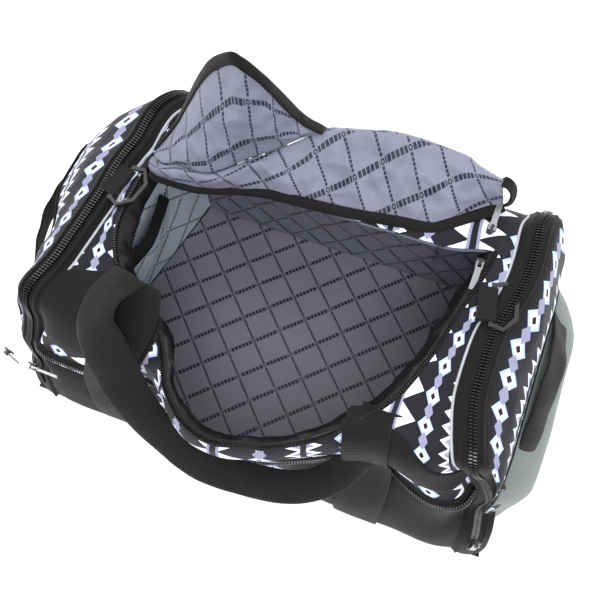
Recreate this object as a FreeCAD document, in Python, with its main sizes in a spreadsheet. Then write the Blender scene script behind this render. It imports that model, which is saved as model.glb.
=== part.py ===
import FreeCAD, Part
import math
import os
import Sketcher

# Soft gear bag with a thrown-back lid, a zipped pocket at each end, a zipped front pocket,
# two carry handles, an end grab handle each side and two strap rings.
# Millimetres. Origin at the middle of the flat base; +X to the right end, +Y to the back, +Z up.

V = FreeCAD.Vector
doc = FreeCAD.newDocument("GearBag")
sheet = doc.addObject("Spreadsheet::Sheet", "Dims")

SIZES = {
    # main compartment: a trapezoid in plan, wider at the front, with a barrel section
    "body_depth": 310, "front_length": 494, "back_length": 374,
    "front_height": 222, "back_height": 240, "top_corner": 45, "side_height": 177,
    "wall": 3, "base_thick": 3, "board_thick": 3, "lining_thick": 1.5, "seam_gap": 1,
    # mouth: a D in plan, straight along the lid's hinge line
    "side_strip": 67, "back_strip": 77,
    "mouth_width": "=front_length - 2 * side_strip", "mouth_back": "=body_depth / 2 - back_strip",
    "mouth_front": 137, "mouth_corner": 120,
    "tape_width": 8, "coil_width": 3, "tape_thick": 1.5, "coil_thick": 3, "facing_drop": 22,
    "facing_thick": 1.5, "tail_length": 40,
    # lid, in three stiff pieces that fold
    "lid_thick": 3, "lid_gap": 2, "lid_zip": 10, "fold_distance": 82, "fold_clear": 2.5,
    "fold_gap": "=lid_thick - fold_clear",
    "corner_gap": 3, "lid_split": 16, "split_angle": 14, "split_gap_angle": 1.5, "hinge_lift": 0.5,
    "lid_rest_angle": 33, "lid_front_angle": -80, "lid_corner_angle": 105,
    "binding_width": 12, "binding_thick": 1.2,
    # end pockets
    "band_width": 34, "end_coil_width": 7, "end_coil_proud": 1.5, "zip_start": 70,
    "piping_width": 3, "piping_proud": 2, "cap_reach": 292, "cap_depth": 250, "cap_height": 178,
    "cap_corner": 50, "gusset_thick": 3, "cap_thick": 3,
    # front pocket
    "pocket_thick": 3, "pocket_height": 140, "pocket_zip": 18, "pocket_coil": 6, "pocket_coil_proud": 1.5,
    "patch_thick": 1.5, "patch_length": 88,
    # webbing handles
    "webbing": 50, "webbing_thick": 2, "handle_spread": 150, "handle_drop": 105, "front_turn": 218,
    "rear_turn": 152, "handle_clear": 1.5, "front_hang": 15, "rear_hang": 4, "handle_round": 40,
    # end grab handles
    "grab_width": 28, "grab_spread": 72, "grab_drop": 46, "grab_turn": 168, "grab_hang": 15,
    "grab_round": 14, "grab_patch": 34,
    # strap rings and their webbing tabs
    "ring_bar": 4, "ring_length": 46, "ring_reach": 25, "ring_bow": 26, "ring_shoulder": 12,
    "tab_length": 34, "tab_reach": 14, "tab_high": 8, "ring_bore": 3.2, "ring_lift": 2.5, "ring_back": 30,
    "right_ring_inset": 14, "left_ring_inset": 16,
    # inner pockets
    "inner_thick": 2, "back_pocket_width": 250, "back_pocket_low": 60, "back_pocket_high": 178,
    "side_pocket_width": 150, "side_pocket_low": 20, "side_pocket_high": 150, "band_high": 24,
    # sliders and pulls
    "slider_length": 11, "slider_width": 9, "slider_thick": 1.8, "slider_clear": 0.4,
    "bail_length": 7, "bail_width": 3, "bail_height": 4.6, "bail_window": 2.8,
    "pull_bar": 1.6, "pull_length": 30, "pull_width": 6, "pull_thick": 1.6, "pull_clear": 0.5,
}
for row, (alias, value) in enumerate(SIZES.items(), 1):
    sheet.set("A%d" % row, alias.replace("_", " "))
    sheet.set("B%d" % row, str(value))
    sheet.setAlias("B%d" % row, alias)
doc.recompute()


def d(text):
    """Turn sheet words into an expression: every size name gets its sheet's name in front."""
    out, word = "", ""
    for char in text + " ":
        if char.isalnum() or char == "_":
            word += char
            continue
        out += ("Dims." + word if word in SIZES else word) + char
        word = ""
    return out.strip()


def number(text):
    return float(sheet.evalExpression(d(text)))


HALF = "body_depth / 2"
SLANT = "atan((front_length - back_length) / 2 / body_depth)"
SLANT_HALF = "(body_depth / 2 / cos(" + SLANT + "))"
MIDDLE = "((front_length + back_length) / 4)"
SLOPE = "((back_height - front_height) / body_depth)"
LID_SLOPE = "atan((back_height - front_height) / body_depth)"
HINGE_Z = "(front_height + " + SLOPE + " * (mouth_back + body_depth / 2) + hinge_lift)"
FLOOR = "(base_thick + board_thick + lining_thick)"


def surface(y_text):
    """Height of the sloping top at a place along Y."""
    return "(front_height + " + SLOPE + " * (" + y_text + " + body_depth / 2))"


# ---------------------------------------------------------------- helpers
def new_body(name):
    return doc.addObject("PartDesign::Body", name)


def outline(body, name, role, points, lift="0", turn="0"):
    """Closed sketch on one of the body's own planes. A point is (x, y) or (x, y, radius), where the
    radius makes the edge that leaves it an arc: positive turns left, negative turns right."""
    sketch = body.newObject("Sketcher::SketchObject", name)
    plane = next(f for f in body.Origin.OriginFeatures if f.Role == role)
    sketch.AttachmentSupport = [(plane, "")]
    sketch.MapMode = "FlatFace"
    sketch.AttachmentOffset = FreeCAD.Placement(V(0, 0, number(lift)),
                                                FreeCAD.Rotation(V(0, 1, 0), number(turn)))
    sketch.setExpression("AttachmentOffset.Base.z", d(lift))
    if turn != "0":
        sketch.setExpression("AttachmentOffset.Rotation.Angle", d(turn))
    places = [V(number(p[0]), number(p[1]), 0) for p in points]
    for index, point in enumerate(points):
        start, end = places[index], places[(index + 1) % len(places)]
        if len(point) == 2:
            sketch.addGeometry(Part.LineSegment(start, end))
            continue
        radius = number(point[2])
        chord = end - start
        height = math.sqrt(radius ** 2 - (chord.Length / 2) ** 2)
        side = V(-chord.y, chord.x, 0).normalize() * math.copysign(height, radius)
        centre = (start + end) * 0.5 + side
        a, b = start - centre, end - centre
        first, last = math.atan2(a.y, a.x), math.atan2(b.y, b.x)
        if radius < 0:
            first, last = last, first
        circle = Part.Circle(centre, V(0, 0, 1), abs(radius))
        sketch.addGeometry(Part.ArcOfCircle(circle, first, last))
    count = len(points)
    ends = [(2, 1) if len(p) == 3 and number(p[2]) < 0 else (1, 2) for p in points]
    for index in range(count):
        following = (index + 1) % count
        sketch.addConstraint(Sketcher.Constraint("Coincident", index, ends[index][1],
                                                 following, ends[following][0]))
    for index, point in enumerate(points):
        for kind, text in (("DistanceX", point[0]), ("DistanceY", point[1])):
            place = sketch.addConstraint(Sketcher.Constraint(kind, index, ends[index][0], number(text)))
            sketch.setExpression("Constraints[%d]" % place, d(text))
        if len(point) == 3:
            radius = point[2].lstrip("-")
            place = sketch.addConstraint(Sketcher.Constraint("Radius", index, number(radius)))
            sketch.setExpression("Constraints[%d]" % place, d(radius))
    return sketch


def pad(body, sketch, length, back=False):
    feature = body.newObject("PartDesign::Pad", sketch.Name + "Pad")
    feature.Profile = sketch
    feature.Length = number(length)
    feature.setExpression("Length", d(length))
    feature.Reversed = back
    sketch.Visibility = False
    return feature


def cut(body, sketch, length):
    """Cut the sketch through the body, and make sure that it really removed something."""
    before = body.Tip.Shape.Volume if body.Tip.Shape.Faces else None
    feature = body.newObject("PartDesign::Pocket", sketch.Name + "Pocket")
    feature.Profile = sketch
    feature.Length = number(length)
    feature.setExpression("Length", d(length))
    sketch.Visibility = False
    doc.recompute()
    if before is not None and feature.Shape.Volume >= before - 1e-6:
        feature.Reversed = True
        doc.recompute()
    return feature


def circle(body, name, role, radius, lift):
    """A round hole about the body's own axis."""
    sketch = body.newObject("Sketcher::SketchObject", name)
    plane = next(f for f in body.Origin.OriginFeatures if f.Role == role)
    sketch.AttachmentSupport = [(plane, "")]
    sketch.MapMode = "FlatFace"
    sketch.setExpression("AttachmentOffset.Base.z", d(lift))
    sketch.addGeometry(Part.Circle(V(0, 0, 0), V(0, 0, 1), number(radius)))
    sketch.addConstraint(Sketcher.Constraint("Coincident", 0, 3, -1, 1))
    spot = sketch.addConstraint(Sketcher.Constraint("Radius", 0, number(radius)))
    sketch.setExpression("Constraints[%d]" % spot, d(radius))
    return sketch


def plate(name, role, points, thick, lift="0", back=False):
    """A flat piece: one outline, one pad."""
    body = new_body(name)
    pad(body, outline(body, name + "Outline", role, points, lift), thick, back)
    return body


def box(name, low, size):
    item = doc.addObject("Part::Box", name)
    for prop, text in zip(("Length", "Width", "Height"), size):
        item.setExpression(prop, d(text))
    for axis, text in zip("xyz", low):
        item.setExpression("Placement.Base." + axis, d(text))
    return item


def join(kind, name, base, tool):
    item = doc.addObject("Part::" + kind, name)
    item.Base, item.Tool = base, tool
    return item


def fuse(name, pieces):
    item = doc.addObject("Part::MultiFuse", name)
    item.Shapes = pieces
    return item


def group(name, pieces):
    item = doc.addObject("Part::Compound", name)
    item.Links = pieces
    return item


def place(item, base, axis=None, angle="0"):
    """Tie a piece's place, and its turn about one axis, to the sheet."""
    if axis:
        item.Placement = FreeCAD.Placement(V(0, 0, 0), FreeCAD.Rotation(V(*axis), number(angle)))
        item.setExpression("Placement.Rotation.Angle", d(angle))
    for letter, text in zip("xyz", base):
        item.setExpression("Placement.Base." + letter, d(text))
    return item


PARTS = []


def part(item, name):
    item.Label = name
    PARTS.append(item)
    return item


# ---------------------------------------------------------------- section outlines
def section(inset, half=HALF, low="0"):
    """The barrel section, moved inwards by inset, as a closed outline."""
    side = "(" + half + " - " + inset + ")"
    front_top = "(front_height - " + inset + " + " + SLOPE + " * top_corner)"
    back_top = "(back_height - " + inset + " - " + SLOPE + " * top_corner)"
    turn = "(top_corner - " + inset + ")"
    return [(side, low), (side, "back_height - top_corner", turn),
            (half + " - top_corner", back_top), ("-" + half + " + top_corner", front_top, turn),
            ("-" + side, "front_height - top_corner"), ("-" + side, low)]


def arch(proud, thick, low):
    """An open band that follows the slanted end of the section, from one foot to the other."""
    outer = section("(-" + proud + ")", SLANT_HALF, low)
    inner = section("(" + thick + " - " + proud + ")", SLANT_HALF, low)
    back = [inner[5], (inner[4][0], inner[4][1], "-" + inner[3][2]), inner[3][:2],
            (inner[2][0], inner[2][1], "-" + inner[1][2]), inner[1][:2], inner[0]]
    return outer + back


def mouth(inset, back):
    """The D of the mouth, moved inwards by inset, from the line y = back to the front."""
    wide = "(mouth_width / 2 - " + inset + ")"
    front = "(-mouth_front + " + inset + ")"
    turn = "(mouth_corner - " + inset + ")"
    start = "(-mouth_front + mouth_corner)"
    bend = "(mouth_width / 2 - mouth_corner)"
    return [(wide, back), ("-" + wide, back), ("-" + wide, start, turn), ("-" + bend, front),
            (bend, front, turn), (wide, start)]


def plan(reach="0", low=HALF, high=HALF, inset="0"):
    """The trapezoid of the base between two lines across it; reach moves the slanted ends out."""
    grow = "((front_length - back_length) / 2 / body_depth)"
    out = "((" + reach + ") / cos(" + SLANT + "))"
    first = "(front_length / 2 + " + out + " - " + grow + " * (body_depth / 2 - (" + low + ")))"
    last = "(back_length / 2 + " + out + " + " + grow + " * (body_depth / 2 - (" + high + ")))"
    return [("-" + first + " + " + inset, "-(" + low + ")"), (first + " - " + inset, "-(" + low + ")"),
            (last + " - " + inset, high), ("-" + last + " + " + inset, high)]


# ---------------------------------------------------------------- main compartment
def make_floor():
    part(plate("BasePanel", "XY_Plane", plan("band_width"), "base_thick"), "base_panel")
    inner = "(body_depth / 2 - wall - seam_gap)"
    part(plate("BaseBoard", "XY_Plane", plan("0", inner, inner, "wall"), "board_thick", "base_thick"),
         "base_board")
    part(plate("FloorLining", "XY_Plane", plan("0", inner, inner, "seam_gap"), "lining_thick",
               "base_thick + board_thick"), "floor_lining")


def make_walls():
    near, far = "(wall - body_depth / 2)", HALF
    front = plan("0", HALF, near)
    part(plate("FrontWall", "XY_Plane", front, "side_height - base_thick", "base_thick"), "front_wall")
    back = plan("0", near, far)
    part(plate("BackWall", "XY_Plane", back, "side_height - base_thick", "base_thick"), "back_wall")
    for sign, side in ((-1, "left"), (1, "right")):
        name = side.capitalize() + "EndWall"
        body = plate(name, "YZ_Plane", section("(wall + seam_gap)", SLANT_HALF, FLOOR), "inner_thick",
                     "0", back=sign > 0)
        place(body, ("%d * %s" % (sign, MIDDLE), "0", "0"), (0, 0, 1), "%d * %s" % (sign, SLANT))
        part(body, side + "_end_wall")


def make_top():
    """The panels around the mouth, the zip half on them and the facing under its edge."""
    length = "(2 * cap_reach)"
    solids = {}
    for key, inset in (("outer", "0"), ("inner", "wall"), ("tape", "tape_thick")):
        solids[key] = plate("Section" + key.capitalize(), "YZ_Plane", section(inset), length, "-cap_reach")
    proud = plate("SectionProud", "YZ_Plane", section("(tape_thick - coil_thick)"), length, "-cap_reach")
    trapezoid = plate("PlanForm", "XY_Plane", plan(), "2 * back_height", "0")
    shell = join("Cut", "TopShell", solids["outer"], solids["inner"])
    ended = join("Common", "TopEnded", shell, trapezoid)
    hole = plate("MouthHole", "XY_Plane", mouth("0", "mouth_back"), "back_height", "side_height")
    ringed = join("Cut", "TopRinged", ended, hole)
    split, tall = "(mouth_width / 2 - mouth_corner / 4)", "back_height"
    regions = {
        "left_top_panel": (("-cap_reach", "-" + HALF, "side_height"),
                           ("cap_reach - " + split, "body_depth", tall)),
        "right_top_panel": ((split, "-" + HALF, "side_height"),
                            ("cap_reach - " + split, "body_depth", tall)),
        "front_top_panel": (("-" + split, "-" + HALF, "side_height"), ("2 * " + split, HALF, tall)),
        "back_top_panel": (("-" + split, "0", "side_height"), ("2 * " + split, HALF, tall)),
    }
    for name, (low, size) in regions.items():
        region = box(name.title().replace("_", "") + "Region", low, size)
        part(join("Common", name.title().replace("_", ""), ringed, region), name)

    inner_hole = plate("TapeHole", "XY_Plane", mouth("tape_width", "mouth_back + wall"),
                       "2 * back_height", "side_height / 2")
    coil_hole = plate("CoilHole", "XY_Plane", mouth("(tape_width + coil_width)", "mouth_back + wall"),
                      "2 * back_height", "side_height / 2")
    hole_tall = plate("MouthTall", "XY_Plane", mouth("0", "mouth_back"), "2 * back_height",
                      "side_height / 2")
    coil_outer = plate("CoilOuter", "XY_Plane", mouth("tape_width", "mouth_back"), "2 * back_height",
                       "side_height / 2")
    tape_ring = join("Cut", "TapeRing", hole_tall, inner_hole)
    tape_shell = join("Cut", "TapeShell", solids["outer"], solids["tape"])
    tape = join("Common", "TapeBand", tape_shell, tape_ring)
    tails = []
    for sign, side in ((-1, "Left"), (1, "Right")):
        low = "%d * (mouth_width / 2 - tape_width / 2 - coil_width) - tape_width / 2 - coil_width" % sign
        tail = box(side + "Tail", ("0", "0", "0"),
                   ("tape_width + 2 * coil_width", "tail_length", "tape_thick"))
        place(tail, (low, "mouth_back", surface("mouth_back")), (1, 0, 0), LID_SLOPE)
        tails.append(tail)
    part(group("MainZipTape", [tape] + tails), "main_zip_tape")
    coil_ring = join("Cut", "CoilRing", coil_outer, coil_hole)
    coil_shell = join("Cut", "CoilShell", proud, solids["tape"])
    part(join("Common", "MainZipCoil", coil_shell, coil_ring), "main_zip_coil")

    wide = plate("FacingOuter", "XY_Plane", mouth("(-seam_gap - facing_thick)", "mouth_back"),
                 "2 * back_height", "side_height / 2")
    narrow = plate("FacingInner", "XY_Plane", mouth("(-seam_gap)", "mouth_back + wall"),
                   "2 * back_height", "side_height / 2")
    ring = join("Cut", "FacingRing", wide, narrow)
    under = join("Common", "FacingUnder", ring, solids["inner"])
    lowered = plate("SectionLowered", "YZ_Plane", section("(wall + facing_drop)"), length, "-cap_reach")
    part(join("Cut", "RimFacing", under, lowered), "rim_facing")


# ---------------------------------------------------------------- end pockets
def cap_outline(inset, low):
    side = "(cap_depth / 2 - " + inset + ")"
    top = "(cap_height - " + inset + ")"
    turn = "(cap_corner - " + inset + ")"
    return [(side, low), (side, "cap_height - cap_corner", turn), ("cap_depth / 2 - cap_corner", top),
            ("-cap_depth / 2 + cap_corner", top, turn), ("-" + side, "cap_height - cap_corner"),
            ("-" + side, low)]


def make_ends():
    piping = []
    for sign, side in ((-1, "left"), (1, "right")):
        title = side.capitalize()
        base = ("%d * %s" % (sign, MIDDLE), "0", "0")
        angle = "%d * %s" % (sign, SLANT)
        outward = sign < 0
        strip = "((band_width - piping_width - end_coil_width) / 2)"
        tapes = []
        for index, start in enumerate(("piping_width", "piping_width + " + strip + " + end_coil_width")):
            body = plate(title + "Tape%d" % index, "YZ_Plane", arch("0", "wall", "base_thick"), strip,
                         "%d * (%s)" % (sign, start), outward)
            tapes.append(place(body, base, (0, 0, 1), angle))
        under = plate(title + "UnderCoil", "YZ_Plane", arch("0", "wall", "base_thick"), "end_coil_width",
                      "%d * (piping_width + %s)" % (sign, strip), outward)
        tapes.append(place(under, base, (0, 0, 1), angle))
        part(fuse(title + "ZipTape", tapes), side + "_zip_tape")
        coil = plate(title + "ZipCoil", "YZ_Plane", arch("end_coil_proud", "end_coil_proud", "zip_start"),
                     "end_coil_width", "%d * (piping_width + %s)" % (sign, strip), outward)
        part(place(coil, base, (0, 0, 1), angle), side + "_zip_coil")
        cord = plate(title + "Piping", "YZ_Plane",
                     arch("piping_proud", "(wall + piping_proud)", "base_thick"), "piping_width", "0",
                     outward)
        piping.append(place(cord, base, (0, 0, 1), angle))

        gusset = new_body(title + "Gusset")
        out = "%d * (%s + band_width / cos(%s))" % (sign, MIDDLE, SLANT)
        end = "%d * (cap_reach - cap_thick)" % sign
        turned = "%d * %s" % (sign, SLANT)
        near = outline(gusset, title + "GussetNear", "YZ_Plane", section("0", SLANT_HALF), out, turned)
        far = outline(gusset, title + "GussetFar", "YZ_Plane", cap_outline("0", "0"), end)
        loft = gusset.newObject("PartDesign::AdditiveLoft", title + "GussetLoft")
        loft.Profile, loft.Sections, loft.Ruled = near, [far], True
        inside = "gusset_thick"
        near_in = outline(gusset, title + "HollowNear", "YZ_Plane", section(inside, SLANT_HALF, inside),
                          out, turned)
        far_in = outline(gusset, title + "HollowFar", "YZ_Plane", cap_outline(inside, inside), end)
        hollow = gusset.newObject("PartDesign::SubtractiveLoft", title + "GussetHollow")
        hollow.Profile, hollow.Sections, hollow.Ruled = near_in, [far_in], True
        part(gusset, side + "_end_gusset")
        cap = plate(title + "EndCap", "YZ_Plane", cap_outline("0", "0"), "cap_thick", end, outward)
        part(cap, side + "_end_cap")
    part(group("EndPiping", piping), "end_piping")


# ---------------------------------------------------------------- front pocket
def make_front_pocket():
    outer = "(body_depth / 2 + pocket_thick)"
    low = "(-body_depth / 2 - pocket_thick)"
    panel = plan("0", outer, "(-body_depth / 2)")
    part(plate("FrontPocketPanel", "XY_Plane", panel, "pocket_height - base_thick", "base_thick"),
         "front_pocket_panel")
    strip = "((pocket_zip - pocket_coil) / 2)"
    tape = [plate("PocketTape%d" % i, "XY_Plane", panel, strip, lift)
            for i, lift in enumerate(("pocket_height", "pocket_height + " + strip + " + pocket_coil"))]
    coil_back = plate("PocketTapeUnder", "XY_Plane", panel, "pocket_coil", "pocket_height + " + strip)
    coil = box("PocketCoil", ("-front_length / 2", low + " - pocket_coil_proud", "pocket_height + " + strip),
               ("front_length", "pocket_coil_proud", "pocket_coil"))
    part(fuse("FrontPocketZip", tape + [coil_back, coil]), "front_pocket_zip")
    patches = []
    for sign, side in ((-1, "Left"), (1, "Right")):
        start = "-front_length / 2" if sign < 0 else "front_length / 2 - patch_length"
        foot = (start, "-body_depth / 2 - patch_thick", "pocket_height + pocket_zip")
        patches.append(box(side + "Patch", foot,
                           ("patch_length", "patch_thick", "side_height - pocket_height - pocket_zip")))
    part(group("FrontCornerPatches", patches), "front_corner_patches")


# ---------------------------------------------------------------- lid
def make_lid():
    """Three flat pieces. Each is drawn from its own fold line, then placed at its rest angle."""
    edge = "(tape_width + coil_width + lid_gap)"
    wide, bend = "(mouth_width / 2 - %s)" % edge, "(mouth_width / 2 - mouth_corner)"
    inner, turn = "(%s - lid_zip)" % wide, "(mouth_corner - %s)" % edge
    long = "(mouth_back + mouth_front - %s - fold_distance)" % edge
    straight = "(mouth_back + mouth_front - mouth_corner - fold_distance)"
    turn_in, long_in = "(%s - lid_zip)" % turn, "(%s - lid_zip)" % long
    first, last, near = "lid_gap", "(fold_distance - fold_gap)", "fold_gap"
    front_start, corner_end = "(fold_gap - lid_split)", "(-2 * corner_gap - lid_split)"

    def on_bend(radius, sign):
        """Point of the left bend where the split between the front and corner pieces meets it."""
        angle = "(split_angle %s split_gap_angle)" % sign
        return ("(-%s - %s * sin(%s))" % (bend, radius, angle),
                "(%s + %s * cos(%s))" % (straight, radius, angle))

    hinge = ("0", "mouth_back", HINGE_Z)
    crest = ("0", "mouth_back + fold_distance * cos(lid_rest_angle)",
             "%s + fold_distance * sin(lid_rest_angle)" % HINGE_Z)

    def piece(name, points, base, angle, node=None):
        body = place(plate(name, "XY_Plane", points, "lid_thick"), base, (1, 0, 0), angle)
        return part(body, node) if node else body

    piece("LidRearPanel", [("-" + inner, first), (inner, first), (inner, last), ("-" + inner, last)],
          hinge, "lid_rest_angle", "lid_rear_panel")
    strips = [piece("LidRearZip%d" % i, [(a, first), (b, first), (b, last), (a, last)], hinge,
                    "lid_rest_angle") for i, (a, b) in enumerate((("-" + wide, "-" + inner), (inner, wide)))]
    part(group("LidRearZip", strips), "lid_rear_zip")

    piece("LidFrontPanel", [(front_start, near), (inner, near), (inner, straight, turn_in), (bend, long_in),
                            ("-" + bend, long_in, turn_in), on_bend(turn_in, "-")],
          crest, "lid_front_angle", "lid_front_panel")
    piece("LidFrontZip", [(inner, near), (wide, near), (wide, straight, turn), (bend, long),
                          ("-" + bend, long, turn), on_bend(turn, "-"),
                          on_bend(turn_in, "-") + ("-" + turn_in,), ("-" + bend, long_in),
                          (bend, long_in, "-" + turn_in), (inner, straight)],
          crest, "lid_front_angle", "lid_front_zip")
    piece("LidCornerPanel", [("-" + inner, "corner_gap"), (corner_end, "corner_gap"),
                             on_bend(turn_in, "+") + (turn_in,), ("-" + inner, straight)],
          crest, "lid_corner_angle", "lid_corner_panel")
    piece("LidCornerZip", [("-" + wide, "corner_gap"), ("-" + inner, "corner_gap"),
                           ("-" + inner, straight, "-" + turn_in), on_bend(turn_in, "+"),
                           on_bend(turn, "+") + (turn,), ("-" + wide, straight)],
          crest, "lid_corner_angle", "lid_corner_zip")

    low = ("-" + inner, "mouth_back + lid_gap", surface("(mouth_back + lid_gap)"))
    binding = box("LidHingeBinding", low, ("2 * " + inner, "binding_width", "binding_thick"))
    part(place(binding, low, (1, 0, 0), LID_SLOPE), "lid_hinge_binding")


# ---------------------------------------------------------------- handles
def loop_points(spread, width, drop, turn):
    """A U of webbing hanging below its turning line: two legs and a grip between them."""
    out, inside = "(%s + %s / 2)" % (spread, width), "(%s - %s / 2)" % (spread, width)
    low, step = "(-%s)" % drop, "(%s - %s)" % (width, drop)
    return [("-" + out, "0"), ("-" + out, low + " + " + turn, turn), ("-" + out + " + " + turn, low),
            (out + " - " + turn, low, turn), (out, low + " + " + turn), (out, "0"), (inside, "0"),
            (inside, step), ("-" + inside, step), ("-" + inside, "0")]


def make_handles():
    face = "(body_depth / 2 + pocket_thick)"
    legs, patches = [], []
    for sign, side in ((-1, "Left"), (1, "Right")):
        start = "%d * handle_spread - webbing / 2" % sign
        sewn = box(side + "Leg", (start, "-%s - pocket_coil_proud - webbing_thick" % face, "base_thick"),
                   ("webbing", "webbing_thick", "front_turn - base_thick - handle_clear"))
        legs.append(sewn)
        patches.append(box(side + "RearLeg", (start, HALF, "base_thick"),
                           ("webbing", "webbing_thick", "rear_turn - base_thick - handle_clear")))
    part(group("FrontHandleAnchors", legs), "front_handle_anchors")
    part(group("RearHandleAnchors", patches), "rear_handle_anchors")
    points = loop_points("handle_spread", "webbing", "handle_drop", "handle_round")
    front = plate("FrontHandle", "XZ_Plane", points, "webbing_thick")
    line = "-%s - pocket_coil_proud - webbing_thick - handle_clear" % face
    part(place(front, ("0", line, "front_turn"), (1, 0, 0), "-front_hang"), "front_handle")
    rear = plate("RearHandle", "XZ_Plane", points, "webbing_thick", back=True)
    line = "body_depth / 2 + webbing_thick + handle_clear"
    part(place(rear, ("0", line, "rear_turn"), (1, 0, 0), "rear_hang"), "rear_handle")


def make_grabs():
    patches = []
    for sign, side in ((-1, "left"), (1, "right")):
        points = loop_points("grab_spread", "grab_width", "grab_drop", "grab_round")
        grab = plate(side.capitalize() + "Grab", "XZ_Plane", points, "webbing_thick")
        turned = FreeCAD.Rotation(V(0, 0, 1), 90 * sign) * FreeCAD.Rotation(V(1, 0, 0), -number("grab_hang"))
        grab.Placement = FreeCAD.Placement(V(0, 0, 0), turned)
        reach = "%d * (cap_reach + webbing_thick + handle_clear)" % sign
        part(place(grab, (reach, "0", "grab_turn")), side + "_grab_handle")
        for far in (-1, 1):
            start = "cap_reach" if sign > 0 else "-cap_reach - webbing_thick"
            low = (start, "%d * grab_spread - grab_width / 2" % far, "grab_turn - handle_clear - grab_patch")
            patches.append(box("GrabPatch", low, ("webbing_thick", "grab_width", "grab_patch")))
    part(group("GrabAnchors", patches), "grab_anchors")


# ---------------------------------------------------------------- strap rings
def ring_place(sign, inset):
    """Middle of a ring's bar: on the top, beside the slanted zip."""
    plane = "(%s - (front_length - back_length) / 2 / body_depth * ring_back)" % MIDDLE
    height = "(%s + tab_high / 2 + ring_lift)" % surface("ring_back")
    return ("%d * (%s - %s)" % (sign, plane, inset), "ring_back", height)


def make_rings():
    tabs = []
    half, bar = "(ring_length / 2)", "(ring_bar / 2)"
    outer = [("-" + bar, half), ("-" + bar, "-" + half), (bar, "-" + half), ("ring_shoulder", "-ring_bow"),
             ("ring_reach", "-ring_shoulder"), ("ring_reach", "ring_shoulder"),
             ("ring_shoulder", "ring_bow"),
             (bar, half)]
    inner = [(bar, "ring_bar - " + half), ("ring_shoulder", "ring_bar - ring_bow"),
             ("ring_reach - ring_bar", "ring_bar / 2 - ring_shoulder"),
             ("ring_reach - ring_bar", "ring_shoulder - ring_bar / 2"),
             ("ring_shoulder", "ring_bow - ring_bar"), (bar, half + " - ring_bar")]
    for sign, side, inset in ((-1, "left", "left_ring_inset"), (1, "right", "right_ring_inset")):
        title, turned = side.capitalize(), "%d * %s" % (sign, SLANT)
        body = plate(title + "Ring", "XY_Plane", outer, "ring_bar", "-ring_bar / 2")
        cut(body, outline(body, title + "RingInner", "XY_Plane", inner, "ring_bar / 2"), "ring_bar")
        part(place(body, ring_place(sign, inset), (0, 0, 1), turned), side + "_ring")
        tab_end, tab_half = "(ring_bore + ring_bar / 4)", "(tab_high / 2)"
        frame = [("-tab_reach", "-" + tab_half), (tab_end, "-" + tab_half), (tab_end, tab_half),
                 ("-tab_reach", tab_half)]
        tab = plate(title + "Tab", "XZ_Plane", frame, "tab_length", "-tab_length / 2")
        cut(tab, circle(tab, title + "TabBore", "XZ_Plane", "ring_bore", "tab_length / 2"), "tab_length")
        tabs.append(place(tab, ring_place(sign, inset), (0, 0, 1), turned))
    part(group("RingTabs", tabs), "ring_tabs")


# ---------------------------------------------------------------- inner pockets
def make_inner_pockets():
    wall_face = "(body_depth / 2 - wall)"
    low = ("-back_pocket_width / 2", wall_face + " - inner_thick", "back_pocket_low")
    high = "back_pocket_high - back_pocket_low"
    part(box("InnerBackPocket", low, ("back_pocket_width", "inner_thick", high)),
         "inner_back_pocket")
    low = (low[0], wall_face + " - inner_thick - tape_thick", "back_pocket_high")
    part(box("InnerBackZip", low, ("back_pocket_width", "inner_thick + tape_thick", "slider_width")),
         "inner_back_zip")
    side = [("-side_pocket_width / 2", "side_pocket_low"), ("side_pocket_width / 2", "side_pocket_low"),
            ("side_pocket_width / 2", "side_pocket_high"), ("-side_pocket_width / 2", "side_pocket_high")]
    band = [(side[0][0], "side_pocket_high"), (side[1][0], "side_pocket_high"),
            (side[1][0], "side_pocket_high + band_high"), (side[0][0], "side_pocket_high + band_high")]
    base = ("-" + MIDDLE, "0", "0")
    for name, points in (("inner_side_pocket", side), ("side_pocket_band", band)):
        body = plate(name.title().replace("_", ""), "YZ_Plane", points, "inner_thick", "inner_thick")
        part(place(body, base, (0, 0, 1), "-" + SLANT), name)


# ---------------------------------------------------------------- sliders and pulls
def slider(name, base, travel, normal):
    """A slider plate with its bail; it lies on the zip, and its pull's bar passes through the bail."""
    body = new_body(name.title().replace("_", ""))
    long, wide = "(slider_length / 2)", "(slider_width / 2)"
    points = [("-" + long, "-" + wide), (long + " - slider_thick", "-" + wide), (long, "-bail_width / 2"),
              (long, "bail_width / 2"), (long + " - slider_thick", wide), ("-" + long, wide)]
    pad(body, outline(body, body.Name + "Plate", "XY_Plane", points, "slider_clear"), "slider_thick")
    foot, top = "(slider_clear + slider_thick)", "(slider_clear + slider_thick + bail_height)"
    reach = "(bail_length / 2)"
    bail = [("-" + reach, foot), (reach, foot), (reach, top), ("-" + reach, top)]
    pad(body, outline(body, body.Name + "Bail", "XZ_Plane", bail, "-bail_width / 2"), "bail_width")
    rim = "((bail_height - bail_window) / 2)"
    hole = [("%s - %s" % (rim, reach), foot + " + " + rim), ("%s - %s" % (reach, rim), foot + " + " + rim),
            ("%s - %s" % (reach, rim), top + " - " + rim), ("%s - %s" % (rim, reach), top + " - " + rim)]
    cut(body, outline(body, body.Name + "Window", "XZ_Plane", hole, "bail_width / 2"), "bail_width")
    across = V(*normal).cross(V(*travel))
    body.Placement = FreeCAD.Placement(V(0, 0, 0), FreeCAD.Rotation(V(*travel), across, V(*normal), "ZXY"))
    return part(place(body, base), name)


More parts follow.
